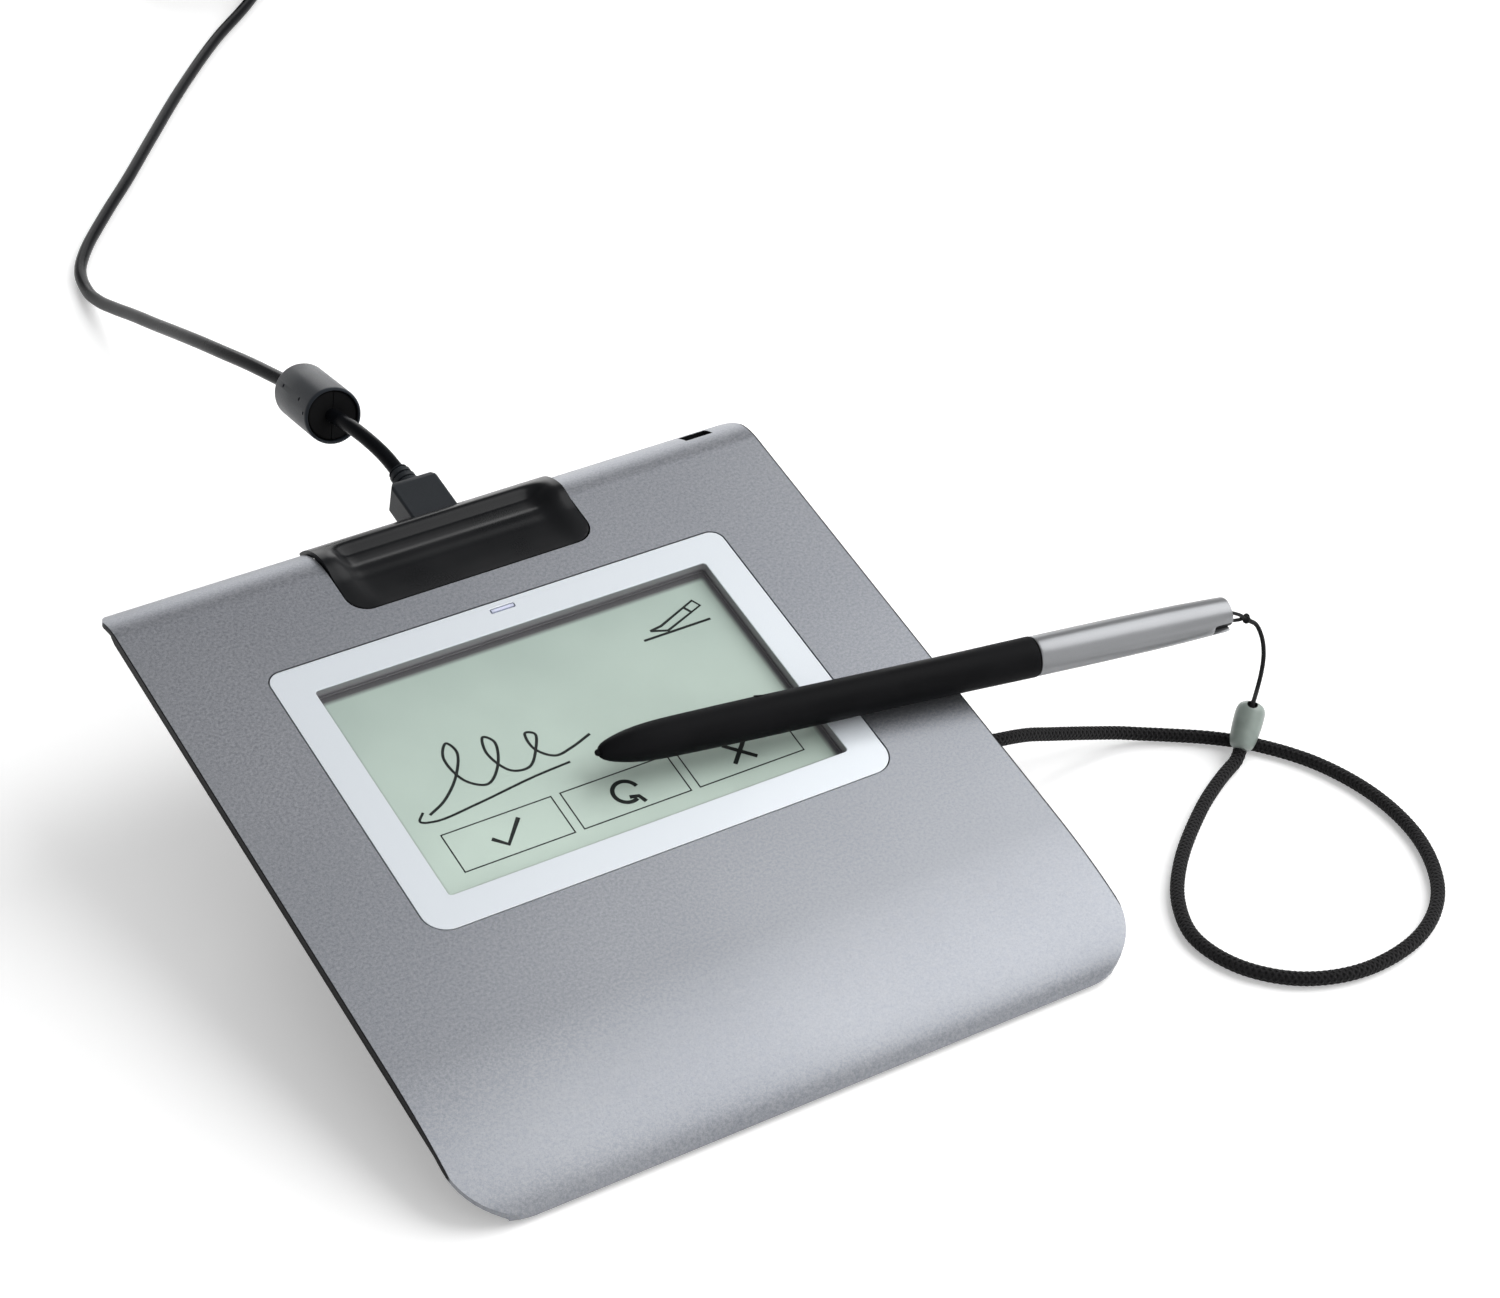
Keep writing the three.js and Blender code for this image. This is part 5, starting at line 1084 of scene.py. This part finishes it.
for node, (body, finishSlot, finish, width) in easedCopies.items():
    piece = copied("eased_" + node, node)
    if node == "stand_foot":
        raiseTop(piece, footSeat)
    eased(piece, width)
    placed(piece, worldFrame, body, finish, [node], 30, True)
print("eased copies made")


def dress(node, finish):
    slots = nodes[node].data.materials
    slots.clear()
    slots.append(finish.material)


# Display
screen = {
    "centreY": 13.8425, "size": (96.5, 60.8), "top": -3.1,
    "tint": (0.655, 0.785, 0.70), "tintRearShade": (0.43, 0.527, 0.478), "pixel": 0.24,
    "clear": (47.0, 28.55),  # half sizes of the field inside the dark border, which carries painted shade for a deeper recess wall
    "borderAndShade": (0.12, 0.117, 0.124), "borderAndShadeSide": (0.2, 0.196, 0.206), "shadowSoftness": 0.6,
    # seal: the grey of the window wall's painted shade, for the seals and the glass's border
    "seal": (0.26, 0.255, 0.268), "sealWidth": 1.3, "seals": [(-2.18, -1.92), (-3.08, -2.82)],
    "ink": (0.006, 0.009, 0.008), "stroke": 0.66, "thin": 0.46, "heavy": 1.0,
}


def lcdFinish():
    finish = Finish("lcd_glass", {"Roughness": 0.42, "Specular IOR Level": 0.25}, padFrame)
    # Painted shade: the screen's colour darkens from the front towards the rear
    rearShade = finish.spread(finish.y, 0, 1, -16, 46)
    rate = 2 * math.pi / screen["pixel"]
    cells = finish.maths("SINE", finish.x * rate) * finish.maths("SINE", finish.y * rate)
    cloud = finish.noise(0.05, 2)
    tone = rearShade * 0.85 + finish.spread(cloud, -0.08, 0.08, 0.35, 0.65)
    paper = finish.mixed(tone, screen["tint"], screen["tintRearShade"])
    green = finish.mixed(finish.spread(cells, 0, 0.06, -1, 1), paper, (0.25, 0.33, 0.29))
    # Painted shade: the LCD's dark border, drawn wider for a deeper recess wall, its soft inner edge a
    # painted shadow, lighter at the sides as painted light against the shade there
    across, up = screen["clear"]
    clearX = finish.within(finish.x, 0, across, screen["shadowSoftness"])
    clearY = finish.within(finish.y, screen["centreY"], up, screen["shadowSoftness"])
    border = finish.mixed(clearX, screen["borderAndShadeSide"], screen["borderAndShade"])
    finish.give("Base Color", finish.mixed(clearX * clearY, border, green))
    return finish


def glassFinish():
    # Clear in the window, with an opaque border under the bezel in the seals' grey, painted shade that
    # carries the window's wall down
    finish = Finish("window_glass", {"Roughness": 0.16, "Specular IOR Level": 0.9}, padFrame)
    fine = finish.noise(12, 1)
    u, v = (side / 2 for side in screen["size"])
    clear = finish.within(finish.x, 0, u, 0.02) * finish.within(finish.y, screen["centreY"], v, 0.02)
    tint = finish.mixed(fine, (0.05, 0.06, 0.055), (0.08, 0.09, 0.085))
    finish.give("Base Color", finish.mixed(clear, screen["seal"], tint))
    finish.give("Alpha", finish.spread(clear, 1, 0.05))
    finish.bump(fine, 0.1, 0.004)
    return finish


def drawn(name, strokes, finish):
    # Printed lines: thin tubes pressed flat just over the display's face
    parts = []
    for i, (line, width, closed) in enumerate(strokes):
        part = meshed(tube(name + str(i), [Vector((x, y, 0)) for x, y in line], width, 2, closed))
        parts.append(part)
    deselectAll()
    for part in parts:
        part.select_set(True)
    bpy.context.view_layer.objects.active = parts[0]
    bpy.ops.object.join()
    piece = bpy.context.object
    piece.name = piece.data.name = name
    piece.data.transform(Matrix.Translation((0, 0, screen["top"] + 0.012)) @ Matrix.Diagonal((1, 1, 0.03, 1)))
    return placed(piece, padFrame, "pad", finish, (), 40)


def makeSeals():
    # Foam seals over and under the glass, grey as painted shade that carries the window's wall down
    y, size, colour = screen["centreY"], screen["size"], screen["seal"]
    outer = [side + 2 * screen["sealWidth"] for side in size]
    foam = grained("seal_painted_shade", colour, shaded(colour, 1.15), 0.7, 4.0, 0.03, 0.1, padFrame)
    for name, (low, high) in zip(("sealOver", "sealUnder"), screen["seals"]):
        ring = plate(name, outer, y, (low, high), (1.2, 1.2), 4)
        cut(ring, plate("opening", size, y, (low - 1, high + 1), (0.8, 0.8), 4))
        placed(ring, padFrame, "pad", foam, (), 30)


def makeScreen():
    makeSeals()
    dress("lcd_panel", lcdFinish())
    dress("cover_glass", glassFinish())
    ink = Finish("lcd_ink", {"Roughness": 0.5, "Specular IOR Level": 0.2}, padFrame)
    ink.give("Base Color", ink.mixed(ink.noise(3, 1), screen["ink"], shaded(screen["ink"], 1.3)))
    bold, y = screen["stroke"], -4.95
    boxes = [[(x - 13, -10.3), (x + 13, -10.3), (x + 13, 0.4), (x - 13, 0.4)] for x in (-28.0, 0.2, 28.4)]
    tick = [(-31.8, y + 0.2), (-29.2, y - 2.5), (-24.0, y + 3.1)]
    arc = [(0.2 + 2.9 * math.cos(t * deg), y + 2.9 * math.sin(t * deg)) for t in range(10, 305, 8)]
    arrow = [(0.2, y - 1.6), (2.2, y - 2.1), (2.9, y - 4.0)]
    cross = [[(25.6, y + 2.8), (31.2, y - 2.8)], [(25.6, y - 2.8), (31.2, y + 2.8)]]
    penSign = [
        [(28.2, 33.2), (31.2, 33.6), (41.4, 37.6), (42.4, 35.6), (32.0, 31.8), (28.2, 33.2)],
        [(38.6, 36.5), (39.6, 34.5)],
        [(25.5, 31.2), (42.5, 31.2)],
    ]
    strokes = [(line, screen["thin"], True) for line in boxes]
    strokes += [(line, screen["heavy"], False) for line in (tick, arc, arrow, *cross)]
    strokes += [(line, bold, False) for line in penSign]
    drawn("screenMarks", strokes, ink)
    wave = [
        (-40.5, 6.2), (-36, 8.4), (-30.5, 13.5), (-27.2, 19.5), (-28.2, 22.4), (-30.6, 19.0), (-29.4, 11.6),
        (-25.5, 8.8), (-21.0, 12.6), (-18.6, 18.8), (-20.2, 20.8), (-21.6, 16.4), (-19.2, 10.2), (-15.2, 9.4),
        (-11.4, 13.4), (-9.6, 17.2), (-11.4, 18.2), (-11.8, 13.6), (-8.6, 10.0), (-4.2, 10.6), (1.2, 12.4),
    ]
    under = [(-41.5, 7.4), (-43.2, 5.4), (-40.0, 4.2), (-30.0, 4.9), (-16.0, 6.6), (-6.5, 7.2)]
    lines = [(smoothPairs(path, 0.5), width, False) for path, width in ((wave, bold), (under, bold * 0.9))]
    drawn("screenFlourish", lines, ink)


makeScreen()
print("display made")


# Inner parts, screws and the far plug
def boardFinish():
    finish = Finish("circuit_board", {"Roughness": 0.42, "Coat Weight": 0.2}, padFrame)
    lengthwise = finish.maths("FRACT", finish.x * 0.35 + finish.noise(0.06, 1) * 4)
    crosswise = finish.maths("FRACT", finish.y * 0.35 + finish.noise(0.05, 1) * 3)
    tracks = finish.within(lengthwise, 0.5, 0.09, 0.02), finish.within(crosswise, 0.5, 0.07, 0.02)
    copper = finish.maths("MAXIMUM", *tracks)
    finish.give("Base Color", finish.mixed(copper, (0.012, 0.09, 0.035), (0.03, 0.17, 0.07)))
    finish.bump(copper, 0.3, 0.03)
    return finish


def windingFinish():
    finish = Finish("coil_copper", {"Metallic": 0.9, "Roughness": 0.35}, penFrame)
    turns = finish.maths("SINE", finish.x * (2 * math.pi / 0.22))
    # Painted shade: darker in the grooves between the wire's turns, lighter on their crowns
    finish.colour(turns, -1, 1, (0.25, 0.08, 0.03), (0.62, 0.27, 0.13))
    finish.bump(turns, 0.8, 0.05)
    return finish


def lightFinish(name, colour, strength):
    finish = Finish(name, {"Roughness": 0.3, "Emission Strength": strength}, padFrame)
    glow = finish.mixed(finish.within(finish.x, 0, 2.2, 0.6), shaded(colour, 0.8), colour)
    finish.give("Base Color", glow)
    finish.give("Emission Color", glow)
    return finish


board = boardFinish()
for name in ("sensor_board", "main_board", "pen_board"):
    dress(name, board)
dress("lcd_ribbon", brushed("flat_ribbon", (0.55, 0.30, 0.10), 0.45, padFrame))
dress("pen_coil", windingFinish())
for name in ("shield_plate", "usb_socket", "usb_plug_shell", "hinge_pin_left", "hinge_pin_right"):
    dress(name, steel)
dress("light_pipe", lightFinish("light_pipe_plastic", (0.61, 0.645, 0.80), 0.03))
dress("status_led", lightFinish("led_package", (0.9, 0.92, 0.95), 0.1))

screws = {"head": 2.2, "headHeight": 1.1, "shank": 1.0, "x": 64, "rows": (-58, 52), "seat": -9.3, "tip": -2.4,
          "turns": 7}


def makeScrews():
    # Pan head with a cross recess, modelled once and copied
    w = screws
    low = w["seat"] - w["headHeight"]
    head, seat, shank = w["head"], w["seat"], w["shank"]
    profile = [(low, 0.6), (low, 1.3), (low + 0.15, 1.85), (low + 0.45, head), (seat - 0.05, head),
               (seat, head - 0.08), (seat, shank)]
    turn = (w["tip"] - seat - 0.9) / w["turns"]
    for i in range(w["turns"]):
        at = seat + 0.3 + turn * i
        profile += [(at, shank * 0.82), (at + turn * 0.45, shank), (at + turn * 0.6, shank)]
    profile += [(w["tip"] - 0.6, shank * 0.8), (w["tip"], 0.3)]
    first = turned("screw", profile, 32)
    first.data.transform(turnBy(-90, "Y"))
    for x, y in ((1.25, 0.24), (0.24, 1.25)):
        cut(first, block("blade", (-x, -y, low - 1), (x, y, low + 0.6)))
    spots = [(x, y, 0) for y in w["rows"] for x in (-w["x"], w["x"])]
    for count, spot in enumerate(spots, 1):
        piece = linked("housingScrew" + str(count), first.data.copy())
        piece.data.transform(Matrix.Translation(spot) @ turnBy(count * 37, "Z"))
        placed(piece, padFrame, "pad", screwSteel, ["housing_screw_" + str(count)], 35)
    bpy.data.objects.remove(first)


makeScrews()
tie = {
    "turn": 157.2, "width": 6, "inner": 1.85, "outer": 2.6, "tab": (24.7, 5.6, 12.6),
    "cords": [
        (21.4, 2.7), (17.4, 2.7), (18.4, 6.7), (22.3, 6.7), (22.9, 10.6), (18.9, 10.6), (16.9, 14.6),
        (20.8, 14.6),
    ],
}


def hullRound(name, centres, radius, depth):
    # A band's outline pulled tight round cords that run along y
    deselectAll()
    settings = {"vertices": 24, "radius": radius, "depth": depth, "rotation": (90 * deg, 0, 0)}
    for i, (x, z) in enumerate(centres):
        bpy.ops.mesh.primitive_cylinder_add(location=(x, 0, z), **settings)
        if i == 0:
            piece = added(name)
            edit(piece)
    selectAll()
    bpy.ops.mesh.convex_hull()
    leave()
    return piece


def makeTie():
    t = tie
    band = hullRound("coilTie", t["cords"], t["outer"], t["width"])
    cut(band, hullRound("bandOpening", t["cords"], t["inner"], t["width"] + 2))
    at, low, high = t["tab"]
    half = t["width"] / 2 - 0.4
    tab = block("bandTab", (at, -half, low), (at + 1.1, half, high))
    eased(tab, 0.35)
    cut(band, tab, "UNION")
    eased(band, 0.15, 40)
    x, y = coil["centre"]
    tieFrame = worldFrame @ Matrix.Translation((x, y, 0)) @ turnBy(t["turn"], "Z")
    placed(band, tieFrame, "usb_lead", blackFine, ["coil_tie"], 30, True)


makeTie()
farPlug = {"relief": 11, "body": 27, "width": 15.6, "height": 8, "shell": (12, 12, 4.5), "wall": 0.35}


def makeFarPlug():
    f = farPlug
    profile = [(0, 1.85), (0, 2.1)]
    for i in range(5):
        at, radius = 0.2 + i * 1.9, 2.15 + i * 0.17
        rib = [(0, 0), (1.1, 0.1), (1.25, -0.3), (1.7, -0.28)]
        profile += [(at + a, radius + b) for a, b in rib]
    profile += [(9.8, 3.0), (f["relief"], 3.0), (f["relief"], 1.85)]
    relief = turned("farRelief", profile, 40)
    placed(relief, aPlugFrame, "usb_lead", plugPlastic, ["usb_a_relief"], 30)
    start = f["relief"] + 0.3
    w, h = f["width"] / 2, f["height"] / 2
    piece = block("farBody", (start + 6, -w, -h), (start + f["body"], w, h))
    edit(piece)
    choose("FACE", lambda q: q.normal.x < -0.9)
    for step, share, tall in ((-3, 0.94, 0.97), (-3, 0.74, 0.88)):
        extrude((step, 0, 0))
        resize((1, share, tall), (start, 0, 0))
    choose("EDGE", lambda e: abs((e.verts[0].co - e.verts[1].co).normalized().x) > 0.6)
    bevel(1.8, 5)
    choose("FACE", lambda q: abs(q.normal.z) > 0.99 and q.calc_area() > 60)  # grip panels, left bare
    bpy.ops.mesh.inset(thickness=1.6)
    resize((1, 1, 0.94), (0, 0, 0))
    leave()
    eased(piece, 0.2, 30)
    placed(piece, aPlugFrame, "usb_lead", plugPlastic, ["usb_a_body"], 30, True)
    start += f["body"] + 0.3
    long, wide, tall = f["shell"]
    t = f["wall"]
    w, h = wide / 2, tall / 2
    shell = block("farShell", (start, -w, -h), (start + long, w, h))
    cut(shell, block("farHollow", (start + t, -w + t, -h + t), (start + long + 1, w - t, h - t)))
    for y in (-3.0, 3.0):
        cut(shell, block("farWindow", (start + 6.2, y - 1.15, -5), (start + 8.5, y + 1.15, 5)))
    eased(shell, 0.1, 40)
    placed(shell, aPlugFrame, "usb_lead", steel, ["usb_a_shell"], 30, True)
    dress("usb_a_tongue", tonguePlastic)
    return relief, piece, shell


farPieces = makeFarPlug()

# Desk, backdrop light and lamps
stage = {
    "floor": {"Base Color": (0.9, 0.9, 0.9), "Roughness": 0.35, "Specular IOR Level": 0.35},
    "floorGlow": 0.3,
    # sine of the height, light
    "sky": [(0.0, 1.0), (0.12, 0.82), (0.24, 0.66), (0.42, 0.4), (0.62, 0.19), (0.82, 0.29), (1.0, 0.4)],
    "lamps": {
        "key": ((0.76, -0.13, 0.85), (0, 0.03, 0.02), 1.3, 14.0),
        "front": ((0.15, -1.0, 0.6), (0, 0.0, 0.02), 1.2, 3.0),
        "back": ((0.46, 1.1, 0.36), (0, 0.12, 0.04), 0.7, 2.4),
    },
}


def makeStage():
    deselectAll()
    bpy.ops.mesh.primitive_plane_add(size=40, location=(0, 0, -0.0002))
    floor = added("floor")
    finish = Finish("floor", {**stage["floor"], "Emission Color": (1.0, 1.0, 1.0)})
    seen = finish.seenBy("Is Camera Ray", "Is Glossy Ray", "Is Transmission Ray")
    finish.give("Emission Strength", seen * stage["floorGlow"])
    floor.data.materials.append(finish.material)

    world = bpy.data.worlds.new("studio")
    bpy.context.scene.world = world
    world.use_nodes = True
    tree = Tree(world.node_tree)
    height = tree.split(tree.node("ShaderNodeTexCoord"))[2]
    stops = [(position, (light, light, light)) for position, light in stage["sky"]]
    sky = tree.node("ShaderNodeValToRGB", {"stops": stops}, {"Fac": height})
    seen = tree.seenBy("Is Camera Ray", "Is Transmission Ray")
    strength = tree.node("ShaderNodeMix", {}, {"Factor": seen, "A": sky, "B": 1.0})
    background = world.node_tree.nodes["Background"]
    background.inputs["Color"].default_value = (1, 1, 1, 1)
    tree.link(strength, background.inputs["Strength"])

    for name, (where, target, size, power) in stage["lamps"].items():
        lamp = bpy.data.lights.new(name, "AREA")
        lamp.shape = "DISK"
        lamp.size = size
        lamp.energy = power
        holder = linked(name, lamp)
        holder.location = where
        way = Vector(target) - Vector(where)
        holder.rotation_euler = way.to_track_quat("-Z", "Y").to_euler()
    bpy.context.scene.view_settings.view_transform = "Standard"


makeStage()
print("stage set")
